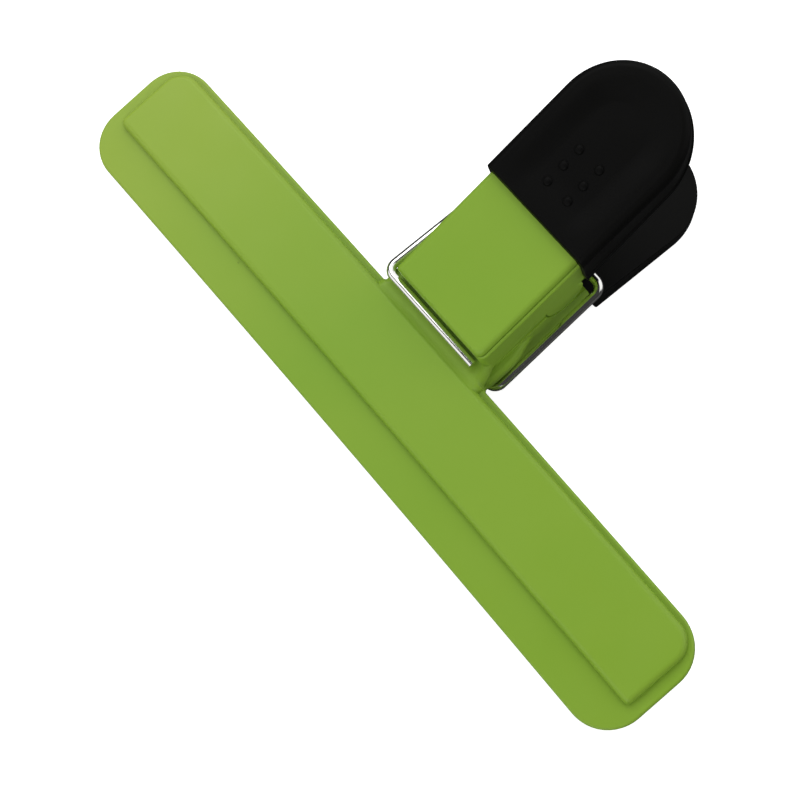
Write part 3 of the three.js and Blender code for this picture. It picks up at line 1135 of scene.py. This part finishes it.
@dataclass
class SpringWire:
    """The one bent wire that presses the jaws together and is their hinge pin."""

    place: Matrix
    finish: bpy.types.Material
    diameter: float = 1.75
    half_span: float = 14.1
    leg_y: float = 27.3
    leg_z: float = 4.5
    leg_end: float = 9.9
    bend_radius: float = 1.9
    step: float = 0.35
    twist_half_length: float = 7.0
    lean: float = 5.0

    def build(self) -> bpy.types.Object:
        """Makes the bent wire in place of its CAD node, running between the halves.

        Returns:
            The finished wire.
        """
        name = "spring_wire_bent"
        corners = [
            (self.leg_end, self.leg_y, self.leg_z),
            (-self.half_span, self.leg_y, self.leg_z),
            (-self.half_span, ROD_Y, 0.0),
            (self.half_span, ROD_Y, 0.0),
            (self.half_span, self.leg_y, -self.leg_z),
            (-self.leg_end, self.leg_y, -self.leg_z),
        ]
        mesh = bpy.data.meshes.new(name)
        mesh.from_pydata(corners, [(i, i + 1) for i in range(len(corners) - 1)], [])
        wire = placed(name, mesh)
        tree, values = self._tree()
        sweep = wire.modifiers.new("wire", "NODES")
        sweep.node_group = tree
        for identifier, value in values.items():
            sweep[identifier] = value
        baked(wire)
        wire.data.transform(self.place)
        wire.data.polygons.foreach_set("use_smooth", [True] * len(wire.data.polygons))
        wire.data.set_sharp_from_angle(angle=math.radians(50))
        self._share(wire)
        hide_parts("spring_wire")
        return wire

    def _share(self, wire: bpy.types.Object) -> None:
        """Bakes the wire's transform into its mesh.

        Args:
            wire: The finished wire, in the row frame.
        """
        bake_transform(wire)

    def _tree(self) -> tuple[bpy.types.NodeTree, dict[str, object]]:
        """The tree that rounds the wire's corners and sweeps its section along it.

        Returns:
            The tree, and the value of each of its inputs by identifier.
        """
        tree = bpy.data.node_groups.new("bent wire", "GeometryNodeTree")
        tree.interface.new_socket("Corners", in_out="INPUT", socket_type="NodeSocketGeometry")
        values = {}
        for label, kind, value in (
            ("Wire Radius", "NodeSocketFloat", self.diameter / 2),
            ("Bend Radius", "NodeSocketFloat", self.bend_radius),
            ("Step", "NodeSocketFloat", self.step),
            ("Finish", "NodeSocketMaterial", self.finish),
        ):
            socket = tree.interface.new_socket(label, in_out="INPUT", socket_type=kind)
            values[socket.identifier] = value
        tree.interface.new_socket("Wire", in_out="OUTPUT", socket_type="NodeSocketGeometry")
        inputs = tree.nodes.new("NodeGroupInput")
        outputs = tree.nodes.new("NodeGroupOutput")
        path = tree.nodes.new("GeometryNodeMeshToCurve")
        bends = tree.nodes.new("GeometryNodeFilletCurve")
        bends.label = "Round each corner"
        bends.mode = "POLY"
        bends.inputs["Count"].default_value = 16
        stations = tree.nodes.new("GeometryNodeResampleCurve")
        stations.mode = "LENGTH"
        along = tree.nodes.new("GeometryNodeSplineParameter")
        keep_along = tree.nodes.new("GeometryNodeCaptureAttribute")
        keep_along.label = "Distance along the wire"
        keep_along.capture_items.new("FLOAT", "Along")
        section = tree.nodes.new("GeometryNodeCurvePrimitiveCircle")
        section.inputs["Resolution"].default_value = 28
        around = tree.nodes.new("GeometryNodeSplineParameter")
        keep_around = tree.nodes.new("GeometryNodeCaptureAttribute")
        keep_around.label = "Share of the way round"
        keep_around.capture_items.new("FLOAT", "Around")
        sweep = tree.nodes.new("GeometryNodeCurveToMesh")
        sweep.inputs["Fill Caps"].default_value = True
        store_along = tree.nodes.new("GeometryNodeStoreNamedAttribute")
        store_along.inputs["Name"].default_value = "wire_along"
        store_around = tree.nodes.new("GeometryNodeStoreNamedAttribute")
        store_around.inputs["Name"].default_value = "wire_around"
        real = tree.nodes.new("GeometryNodeRealizeInstances")
        finish = tree.nodes.new("GeometryNodeSetMaterial")
        for column, nodes in enumerate(
            (
                (inputs, path),
                (bends, stations),
                (along, keep_along),
                (section, around, keep_around),
                (sweep, store_along, store_around),
                (real, finish, outputs),
            )
        ):
            for row, node in enumerate(nodes):
                node.location = (column * 230, -row * 220)

        link = tree.links.new
        link(inputs.outputs["Corners"], path.inputs["Mesh"])
        link(path.outputs[0], bends.inputs["Curve"])
        link(inputs.outputs["Bend Radius"], bends.inputs["Radius"])
        link(bends.outputs[0], stations.inputs["Curve"])
        link(inputs.outputs["Step"], stations.inputs["Length"])
        link(stations.outputs[0], keep_along.inputs[0])
        link(along.outputs["Length"], keep_along.inputs[1])
        link(inputs.outputs["Wire Radius"], section.inputs["Radius"])
        link(section.outputs["Curve"], keep_around.inputs[0])
        link(around.outputs["Factor"], keep_around.inputs[1])
        link(keep_along.outputs[0], sweep.inputs["Curve"])
        link(keep_around.outputs[0], sweep.inputs["Profile Curve"])
        link(sweep.outputs[0], store_along.inputs["Geometry"])
        link(keep_along.outputs[1], store_along.inputs["Value"])
        link(store_along.outputs[0], store_around.inputs["Geometry"])
        link(keep_around.outputs[1], store_around.inputs["Value"])
        link(store_around.outputs[0], real.inputs[0])
        link(real.outputs[0], finish.inputs["Geometry"])
        link(inputs.outputs["Finish"], finish.inputs["Material"])
        link(finish.outputs[0], outputs.inputs[0])
        return tree, values


# Finishes


@dataclass(frozen=True)
class MouldedFinish:
    """A moulded plastic or rubber: its colours, with painted light paling one end, gloss and grain.
    """

    name: str
    colour: tuple[float, float, float]
    # Paler colour, reached partly by the random drift of the tone and partly by painted light
    pale: tuple[float, float, float]
    drift: float
    # Strength of the painted light that pales the colour towards negative X, the end the key light
    # falls on
    flow: float
    roughness: tuple[float, float]
    grain: float
    grain_per_metre: float
    specks: float
    ior: float
    specular: float

    def material(self) -> bpy.types.Material:
        """Writes the finish out as a material.

        Returns:
            The new material.
        """
        material = bpy.data.materials.new(self.name)
        material.use_nodes = True
        tree = material.node_tree
        tree.nodes.clear()
        link = tree.links.new

        where = tree.nodes.new("ShaderNodeTexCoord")
        where.label = "Where on the moulding"
        where.location = (-1300, 0)

        colour_frame = tree.nodes.new("NodeFrame")
        colour_frame.label = "Colour of the resin and painted light"
        drift = tree.nodes.new("ShaderNodeTexNoise")
        drift.label = "Slow drift of the tone"
        drift.location = (-1000, 420)
        drift.parent = colour_frame
        drift.inputs["Scale"].default_value = 38.0
        drift.inputs["Detail"].default_value = 2.0
        share = tree.nodes.new("ShaderNodeMapRange")
        share.label = "How far the tone drifts"
        share.location = (-800, 420)
        share.parent = colour_frame
        share.inputs["From Min"].default_value = 0.35
        share.inputs["From Max"].default_value = 0.65
        share.inputs["To Max"].default_value = self.drift
        split = tree.nodes.new("ShaderNodeSeparateXYZ")
        split.label = "Along the jaws"
        split.location = (-1000, 640)
        split.parent = colour_frame
        # Painted light: the tone pales from X = -12 mm out to -70 mm, the end the key light falls
        # on
        flow = tree.nodes.new("ShaderNodeMapRange")
        flow.label = "Painted light: paler towards negative X"
        flow.location = (-800, 680)
        flow.parent = colour_frame
        flow.inputs["From Min"].default_value = -0.012
        flow.inputs["From Max"].default_value = -0.07
        flow.inputs["To Max"].default_value = self.flow
        # Adds the random drift of the tone to the painted light
        both = tree.nodes.new("ShaderNodeMath")
        both.label = "Random drift and painted light"
        both.use_clamp = True
        both.location = (-700, 560)
        both.parent = colour_frame
        tone = tree.nodes.new("ShaderNodeMix")
        tone.label = "Resin tone and painted light"
        tone.data_type = "RGBA"
        tone.location = (-600, 420)
        tone.parent = colour_frame
        tone.inputs["A"].default_value = (*self.colour, 1.0)
        tone.inputs["B"].default_value = (*self.pale, 1.0)

        speck_frame = tree.nodes.new("NodeFrame")
        speck_frame.label = "Fine specks in the resin"
        specks = tree.nodes.new("ShaderNodeTexVoronoi")
        specks.label = "Scattered specks"
        specks.location = (-1000, 120)
        specks.parent = speck_frame
        specks.inputs["Scale"].default_value = 140.0
        speck_size = tree.nodes.new("ShaderNodeMapRange")
        speck_size.label = "Size of a speck"
        speck_size.location = (-800, 120)
        speck_size.parent = speck_frame
        speck_size.inputs["From Min"].default_value = 0.018
        speck_size.inputs["From Max"].default_value = 0.042
        speck_size.inputs["To Min"].default_value = self.specks
        speck_size.inputs["To Max"].default_value = 0.0
        few = tree.nodes.new("ShaderNodeTexNoise")
        few.label = "Only here and there"
        few.location = (-1000, -120)
        few.parent = speck_frame
        few.inputs["Scale"].default_value = 75.0
        few.inputs["Detail"].default_value = 0.0
        few_share = tree.nodes.new("ShaderNodeMapRange")
        few_share.label = "Where specks may be"
        few_share.location = (-800, -120)
        few_share.parent = speck_frame
        few_share.inputs["From Min"].default_value = 0.56
        few_share.inputs["From Max"].default_value = 0.6
        speck_here = tree.nodes.new("ShaderNodeMath")
        speck_here.operation = "MULTIPLY"
        speck_here.label = "Speck strength"
        speck_here.location = (-600, 60)
        speck_here.parent = speck_frame
        speckled = tree.nodes.new("ShaderNodeMix")
        speckled.label = "Resin with its specks"
        speckled.data_type = "RGBA"
        speckled.location = (-380, 320)
        speckled.parent = speck_frame
        speckled.inputs["B"].default_value = tuple(c * 0.35 for c in self.colour) + (1.0,)

        gloss_frame = tree.nodes.new("NodeFrame")
        gloss_frame.label = "Uneven gloss"
        handled = tree.nodes.new("ShaderNodeTexNoise")
        handled.label = "Handling marks"
        handled.location = (-1000, -380)
        handled.parent = gloss_frame
        handled.inputs["Scale"].default_value = 120.0
        handled.inputs["Detail"].default_value = 4.0
        gloss = tree.nodes.new("ShaderNodeMapRange")
        gloss.label = "Roughness range"
        gloss.location = (-800, -380)
        gloss.parent = gloss_frame
        gloss.inputs["From Min"].default_value = 0.3
        gloss.inputs["From Max"].default_value = 0.7
        gloss.inputs["To Min"].default_value = self.roughness[0]
        gloss.inputs["To Max"].default_value = self.roughness[1]

        grain_frame = tree.nodes.new("NodeFrame")
        grain_frame.label = "Grain of the mould"
        grain = tree.nodes.new("ShaderNodeTexNoise")
        grain.label = "Spark-eroded grain"
        grain.location = (-1000, -660)
        grain.parent = grain_frame
        grain.inputs["Scale"].default_value = self.grain_per_metre
        grain.inputs["Detail"].default_value = 3.0
        swell = tree.nodes.new("ShaderNodeTexNoise")
        swell.label = "Sink and swell of the skin"
        swell.location = (-1000, -900)
        swell.parent = grain_frame
        swell.inputs["Scale"].default_value = 95.0
        swell.inputs["Detail"].default_value = 1.0
        grain_bump = tree.nodes.new("ShaderNodeBump")
        grain_bump.label = "Grain relief"
        grain_bump.location = (-380, -660)
        grain_bump.parent = grain_frame
        grain_bump.inputs["Strength"].default_value = self.grain
        grain_bump.inputs["Distance"].default_value = 0.00004
        swell_bump = tree.nodes.new("ShaderNodeBump")
        swell_bump.label = "Slow relief"
        swell_bump.location = (-600, -900)
        swell_bump.parent = grain_frame
        swell_bump.inputs["Strength"].default_value = 0.25
        swell_bump.inputs["Distance"].default_value = 0.0001

        body = tree.nodes.new("ShaderNodeBsdfPrincipled")
        body.label = "Moulded body"
        body.location = (-80, 0)
        body.inputs["IOR"].default_value = self.ior
        body.inputs["Specular IOR Level"].default_value = self.specular
        out = tree.nodes.new("ShaderNodeOutputMaterial")
        out.location = (240, 0)

        for texture in (drift, specks, few, handled, grain, swell):
            link(where.outputs["Object"], texture.inputs["Vector"])
        link(drift.outputs["Fac"], share.inputs["Value"])
        link(where.outputs["Object"], split.inputs["Vector"])
        link(split.outputs["X"], flow.inputs["Value"])
        link(share.outputs["Result"], both.inputs[0])
        link(flow.outputs["Result"], both.inputs[1])
        link(both.outputs[0], tone.inputs["Factor"])
        link(specks.outputs["Distance"], speck_size.inputs["Value"])
        link(few.outputs["Fac"], few_share.inputs["Value"])
        link(speck_size.outputs["Result"], speck_here.inputs[0])
        link(few_share.outputs["Result"], speck_here.inputs[1])
        link(speck_here.outputs[0], speckled.inputs["Factor"])
        link(tone.outputs["Result"], speckled.inputs["A"])
        link(speckled.outputs["Result"], body.inputs["Base Color"])
        link(handled.outputs["Fac"], gloss.inputs["Value"])
        link(gloss.outputs["Result"], body.inputs["Roughness"])
        link(swell.outputs["Fac"], swell_bump.inputs["Height"])
        link(grain.outputs["Fac"], grain_bump.inputs["Height"])
        link(swell_bump.outputs["Normal"], grain_bump.inputs["Normal"])
        link(grain_bump.outputs["Normal"], body.inputs["Normal"])
        link(body.outputs["BSDF"], out.inputs["Surface"])
        return material


@dataclass(frozen=True)
class BrightWireFinish:
    """Bright plated wire with the faint lines of its drawing die."""

    name: str = "bright_plated_wire"
    colour: tuple[float, float, float] = (0.83, 0.83, 0.8)
    roughness: tuple[float, float] = (0.06, 0.16)
    lines_round: float = 9.0

    def material(self) -> bpy.types.Material:
        """Writes the finish out as a material.

        Returns:
            The new material.
        """
        material = bpy.data.materials.new(self.name)
        material.use_nodes = True
        tree = material.node_tree
        tree.nodes.clear()
        link = tree.links.new

        place_frame = tree.nodes.new("NodeFrame")
        place_frame.label = "Place on the wire"
        along = tree.nodes.new("ShaderNodeAttribute")
        along.label = "Millimetres along the wire"
        along.attribute_name = "wire_along"
        along.location = (-1200, 200)
        along.parent = place_frame
        around = tree.nodes.new("ShaderNodeAttribute")
        around.label = "Share of the way round"
        around.attribute_name = "wire_around"
        around.location = (-1200, 0)
        around.parent = place_frame
        turn = tree.nodes.new("ShaderNodeMath")
        turn.operation = "MULTIPLY"
        turn.label = "Turn in radians"
        turn.inputs[1].default_value = 2 * math.pi
        turn.location = (-1020, 0)
        turn.parent = place_frame
        across = tree.nodes.new("ShaderNodeMath")
        across.operation = "COSINE"
        across.label = "Section, first axis"
        across.location = (-860, 60)
        across.parent = place_frame
        up = tree.nodes.new("ShaderNodeMath")
        up.operation = "SINE"
        up.label = "Section, second axis"
        up.location = (-860, -80)
        up.parent = place_frame
        stretched = tree.nodes.new("ShaderNodeMath")
        stretched.operation = "MULTIPLY"
        stretched.label = "Lines run far along"
        stretched.inputs[1].default_value = 0.02
        stretched.location = (-1020, 200)
        stretched.parent = place_frame
        spot = tree.nodes.new("ShaderNodeCombineXYZ")
        spot.label = "Wire coordinates"
        spot.location = (-680, 100)
        spot.parent = place_frame

        line_frame = tree.nodes.new("NodeFrame")
        line_frame.label = "Drawn lines"
        lines = tree.nodes.new("ShaderNodeTexNoise")
        lines.label = "Die lines"
        lines.location = (-480, 100)
        lines.parent = line_frame
        lines.inputs["Scale"].default_value = self.lines_round
        lines.inputs["Detail"].default_value = 5.0
        gloss = tree.nodes.new("ShaderNodeMapRange")
        gloss.label = "Gloss between the lines"
        gloss.location = (-280, 160)
        gloss.parent = line_frame
        gloss.inputs["From Min"].default_value = 0.3
        gloss.inputs["From Max"].default_value = 0.7
        gloss.inputs["To Min"].default_value = self.roughness[0]
        gloss.inputs["To Max"].default_value = self.roughness[1]
        relief = tree.nodes.new("ShaderNodeBump")
        relief.label = "Relief of the lines"
        relief.location = (-280, -120)
        relief.parent = line_frame
        relief.inputs["Strength"].default_value = 0.12
        relief.inputs["Distance"].default_value = 0.00002

        body = tree.nodes.new("ShaderNodeBsdfPrincipled")
        body.label = "Plated metal"
        body.location = (0, 0)
        body.inputs["Base Color"].default_value = (*self.colour, 1.0)
        body.inputs["Metallic"].default_value = 1.0
        out = tree.nodes.new("ShaderNodeOutputMaterial")
        out.location = (300, 0)

        link(along.outputs["Fac"], stretched.inputs[0])
        link(around.outputs["Fac"], turn.inputs[0])
        link(turn.outputs[0], across.inputs[0])
        link(turn.outputs[0], up.inputs[0])
        link(across.outputs[0], spot.inputs["X"])
        link(up.outputs[0], spot.inputs["Y"])
        link(stretched.outputs[0], spot.inputs["Z"])
        link(spot.outputs[0], lines.inputs["Vector"])
        link(lines.outputs["Fac"], gloss.inputs["Value"])
        link(gloss.outputs["Result"], body.inputs["Roughness"])
        link(lines.outputs["Fac"], relief.inputs["Height"])
        link(relief.outputs["Normal"], body.inputs["Normal"])
        link(body.outputs["BSDF"], out.inputs["Surface"])
        return material


# Studio


@dataclass(frozen=True)
class SoftLight:
    """One large soft light."""

    name: str
    place: tuple[float, float, float]
    size: tuple[float, float]
    watts: float


@dataclass
class Studio:
    """The pale table, the soft lights and the camera, whose place is given in clip millimetres."""

    place: Matrix
    centre: tuple[float, float, float] = (0.0, 0.0, 0.01)
    table_size: float = 3.0
    table_white: float = 0.8
    table_glow: float = 0.85
    table_bounce: float = 0.6
    table_mirrored: float = 0.1
    dome: float = 1.36
    side_fade: tuple[float, float] = (0.66, 0.86)
    dark_band_deg: tuple[float, float] = (-40.0, 6.0)
    dark_band_edge_deg: float = 5.0
    dark_band_depth: float = 0.96
    lens: float = 76.5
    sensor: float = 36.0
    camera_at: tuple[float, float, float] = (82.231, 21.252, 299.139)
    camera_right: tuple[float, float, float] = (0.637683, 0.747721, -0.185134)
    camera_up: tuple[float, float, float] = (-0.728319, 0.663516, 0.171166)
    lights: tuple[SoftLight, ...] = (
        SoftLight("key_softbox", (-0.4, -0.02, 0.56), (0.5, 0.5), 2.0),
        SoftLight("side_softbox", (0.42, -0.62, 0.3), (0.4, 0.4), 0.9),
    )

    def build(self) -> None:
        """Sets the table, lights, world and camera."""
        self._table()
        self._world()
        for light in self.lights:
            self._light(light)
        self._camera()
        bpy.context.scene.view_settings.view_transform = "Standard"

    def _table(self) -> None:
        """A plain pale floor under the clip."""
        half = self.table_size / 2
        mesh = bpy.data.meshes.new("table_top")
        corners = [(-half, -half, 0.0), (half, -half, 0.0), (half, half, 0.0), (-half, half, 0.0)]
        mesh.from_pydata(corners, [], [(0, 1, 2, 3)])
        table = placed("table_top", mesh)
        material = bpy.data.materials.new("pale_table")
        material.use_nodes = True
        tree = material.node_tree
        tree.nodes.clear()
        surface = tree.nodes.new("ShaderNodeBsdfPrincipled")
        surface.label = "Pale matt table"
        surface.location = (0, 200)
        surface.inputs["Base Color"].default_value = (self.table_white,) * 3 + (1.0,)
        surface.inputs["Roughness"].default_value = 0.9
        surface.inputs["Emission Color"].default_value = (1.0, 1.0, 1.0, 1.0)
        surface.inputs["Emission Strength"].default_value = self.table_glow
        bounce = tree.nodes.new("ShaderNodeBsdfDiffuse")
        bounce.label = "What the clip catches of it"
        bounce.location = (0, -200)
        bounce.inputs["Color"].default_value = (self.table_bounce,) * 3 + (1.0,)
        mirrored_table = tree.nodes.new("ShaderNodeBsdfDiffuse")
        mirrored_table.label = "What the wire mirrors of it"
        mirrored_table.location = (0, -400)
        mirrored_table.inputs["Color"].default_value = (self.table_mirrored,) * 3 + (1.0,)
        unseen = tree.nodes.new("ShaderNodeMixShader")
        unseen.location = (200, -300)
        ray = tree.nodes.new("ShaderNodeLightPath")
        ray.label = "Seen or bounced"
        ray.location = (0, 600)
        either = tree.nodes.new("ShaderNodeMixShader")
        either.location = (300, 0)
        out = tree.nodes.new("ShaderNodeOutputMaterial")
        out.location = (500, 0)
        tree.links.new(ray.outputs["Is Camera Ray"], either.inputs["Fac"])
        tree.links.new(ray.outputs["Is Glossy Ray"], unseen.inputs["Fac"])
        tree.links.new(bounce.outputs["BSDF"], unseen.inputs[1])
        tree.links.new(mirrored_table.outputs["BSDF"], unseen.inputs[2])
        tree.links.new(unseen.outputs[0], either.inputs[1])
        tree.links.new(surface.outputs["BSDF"], either.inputs[2])
        tree.links.new(either.outputs[0], out.inputs["Surface"])
        mesh.materials.append(material)

    def _world(self) -> None:
        """A white dome with one dark band across it, where the light tent is open."""
        world = bpy.data.worlds.new("light_tent")
        bpy.context.scene.world = world
        world.use_nodes = True
        tree = world.node_tree
        tree.nodes.clear()
        place = tree.nodes.new("ShaderNodeTexCoord")
        place.label = "Direction"
        split = tree.nodes.new("ShaderNodeSeparateXYZ")
        split.location = (200, 0)
        lean = tree.nodes.new("ShaderNodeMath")
        lean.operation = "ARCTAN2"
        lean.label = "Lean from overhead"
        lean.location = (400, 0)
        edges = []
        low, high = (math.radians(angle) for angle in self.dark_band_deg)
        soft = math.radians(self.dark_band_edge_deg)
        for row, (label, clear, dark) in enumerate(
            (
                ("Low edge of the opening", low - soft, low),
                ("High edge of the opening", high + soft, high),
            )
        ):
            edge = tree.nodes.new("ShaderNodeMapRange")
            edge.label = label
            edge.interpolation_type = "SMOOTHSTEP"
            edge.location = (600, -row * 280)
            edge.inputs["From Min"].default_value = clear
            edge.inputs["From Max"].default_value = dark
            tree.links.new(lean.outputs[0], edge.inputs["Value"])
            edges.append(edge)
        opening = tree.nodes.new("ShaderNodeMath")
        opening.operation = "MULTIPLY"
        opening.label = "Inside the opening"
        opening.location = (800, 0)
        sideways = tree.nodes.new("ShaderNodeMath")
        sideways.operation = "ABSOLUTE"
        sideways.label = "How far sideways"
        sideways.location = (400, -560)
        ends = tree.nodes.new("ShaderNodeMapRange")
        ends.label = "Open ends of the tent"
        ends.interpolation_type = "SMOOTHSTEP"
        ends.location = (600, -560)
        ends.inputs["From Min"].default_value = self.side_fade[0]
        ends.inputs["From Max"].default_value = self.side_fade[1]
        either = tree.nodes.new("ShaderNodeMath")
        either.operation = "MAXIMUM"
        either.label = "Any opening"
        either.location = (900, -300)
        strength = tree.nodes.new("ShaderNodeMapRange")
        strength.label = "Dome and opening"
        strength.location = (1000, 0)
        strength.inputs["To Min"].default_value = self.dome
        strength.inputs["To Max"].default_value = self.dome * (1 - self.dark_band_depth)
        light = tree.nodes.new("ShaderNodeBackground")
        light.location = (1200, 0)
        out = tree.nodes.new("ShaderNodeOutputWorld")
        out.location = (1400, 0)
        tree.links.new(place.outputs["Generated"], split.inputs[0])
        tree.links.new(split.outputs["Y"], lean.inputs[0])
        tree.links.new(split.outputs["Z"], lean.inputs[1])
        tree.links.new(edges[0].outputs["Result"], opening.inputs[0])
        tree.links.new(edges[1].outputs["Result"], opening.inputs[1])
        tree.links.new(split.outputs["X"], sideways.inputs[0])
        tree.links.new(sideways.outputs[0], ends.inputs["Value"])
        tree.links.new(opening.outputs[0], either.inputs[0])
        tree.links.new(ends.outputs["Result"], either.inputs[1])
        tree.links.new(either.outputs[0], strength.inputs["Value"])
        tree.links.new(strength.outputs["Result"], light.inputs["Strength"])
        tree.links.new(light.outputs[0], out.inputs["Surface"])

    def _light(self, light: SoftLight) -> None:
        """Hangs one soft light, facing the clip."""
        lamp = bpy.data.lights.new(light.name, "AREA")
        lamp.shape = "RECTANGLE"
        lamp.size, lamp.size_y = light.size
        lamp.energy = light.watts
        holder = bpy.data.objects.new(light.name, lamp)
        bpy.context.scene.collection.objects.link(holder)
        holder.location = light.place
        aim = Vector(self.centre) - Vector(light.place)
        holder.rotation_euler = aim.to_track_quat("-Z", "Y").to_euler()

    def _camera(self) -> None:
        """The camera above the clip's right side, turned about its own line of sight."""
        data = bpy.data.cameras.new("studio_camera")
        data.lens = self.lens
        data.sensor_width = self.sensor
        data.clip_start = 0.01
        camera = bpy.data.objects.new("studio_camera", data)
        bpy.context.scene.collection.objects.link(camera)
        turned = self.place.to_3x3()
        right = (turned @ Vector(self.camera_right)).normalized()
        up = turned @ Vector(self.camera_up)
        back = right.cross(up).normalized()
        up = back.cross(right)
        turn = Matrix((right, up, back)).transposed().to_4x4()
        where = self.place @ Vector(self.camera_at)
        camera.matrix_world = Matrix.Translation(where) @ turn
        bpy.context.scene.camera = camera


LIME_PLASTIC = MouldedFinish(
    name="lime_moulded_plastic",
    colour=(0.226, 0.402, 0.03),
    # The paler colour serves both the random drift and the painted light that pales the jaws
    # towards negative X
    pale=(0.315, 0.45, 0.05),
    drift=0.16,
    # Strength of that painted light
    flow=0.8,
    roughness=(0.4, 0.5),
    grain=0.12,
    grain_per_metre=2600.0,
    specks=0.5,
    ior=1.49,
    specular=0.32,
)
BLACK_RUBBER = MouldedFinish(
    name="black_soft_touch_rubber",
    colour=(0.0034, 0.0034, 0.0032),
    pale=(0.0046, 0.0046, 0.0043),
    drift=0.8,
    flow=0.0,
    roughness=(0.38, 0.48),
    grain=0.15,
    grain_per_metre=3200.0,
    specks=0.0,
    ior=1.48,
    specular=0.05,
)


def report(pieces: Sequence[bpy.types.Object]) -> None:
    """Logs each piece with its count of faces."""
    for piece in pieces:
        LOG.info("%s: %d faces", piece.name, len(piece.data.polygons))


def main() -> None:
    """Builds the clip and its studio."""
    logging.basicConfig(level=logging.INFO, format="%(name)s: %(message)s")
    place = ClipPlace(frame["record"], frame["joints"][0]).matrix()
    settling = Settling(place)
    lime = LIME_PLASTIC.material()
    black = BLACK_RUBBER.material()
    jaw = JawMoulding(settling, lime)
    grip = SoftGrip(settling, black)
    ridges = SealingRidges(settling, lime)
    for side in Side:
        report([jaw.build(side)])
        report([ridges.build(side)])
        report(grip.build(side, jaw))
    report([SpringWire(place, BrightWireFinish().material()).build()])
    Studio(place).build()


if __name__ == "__main__":
    main()
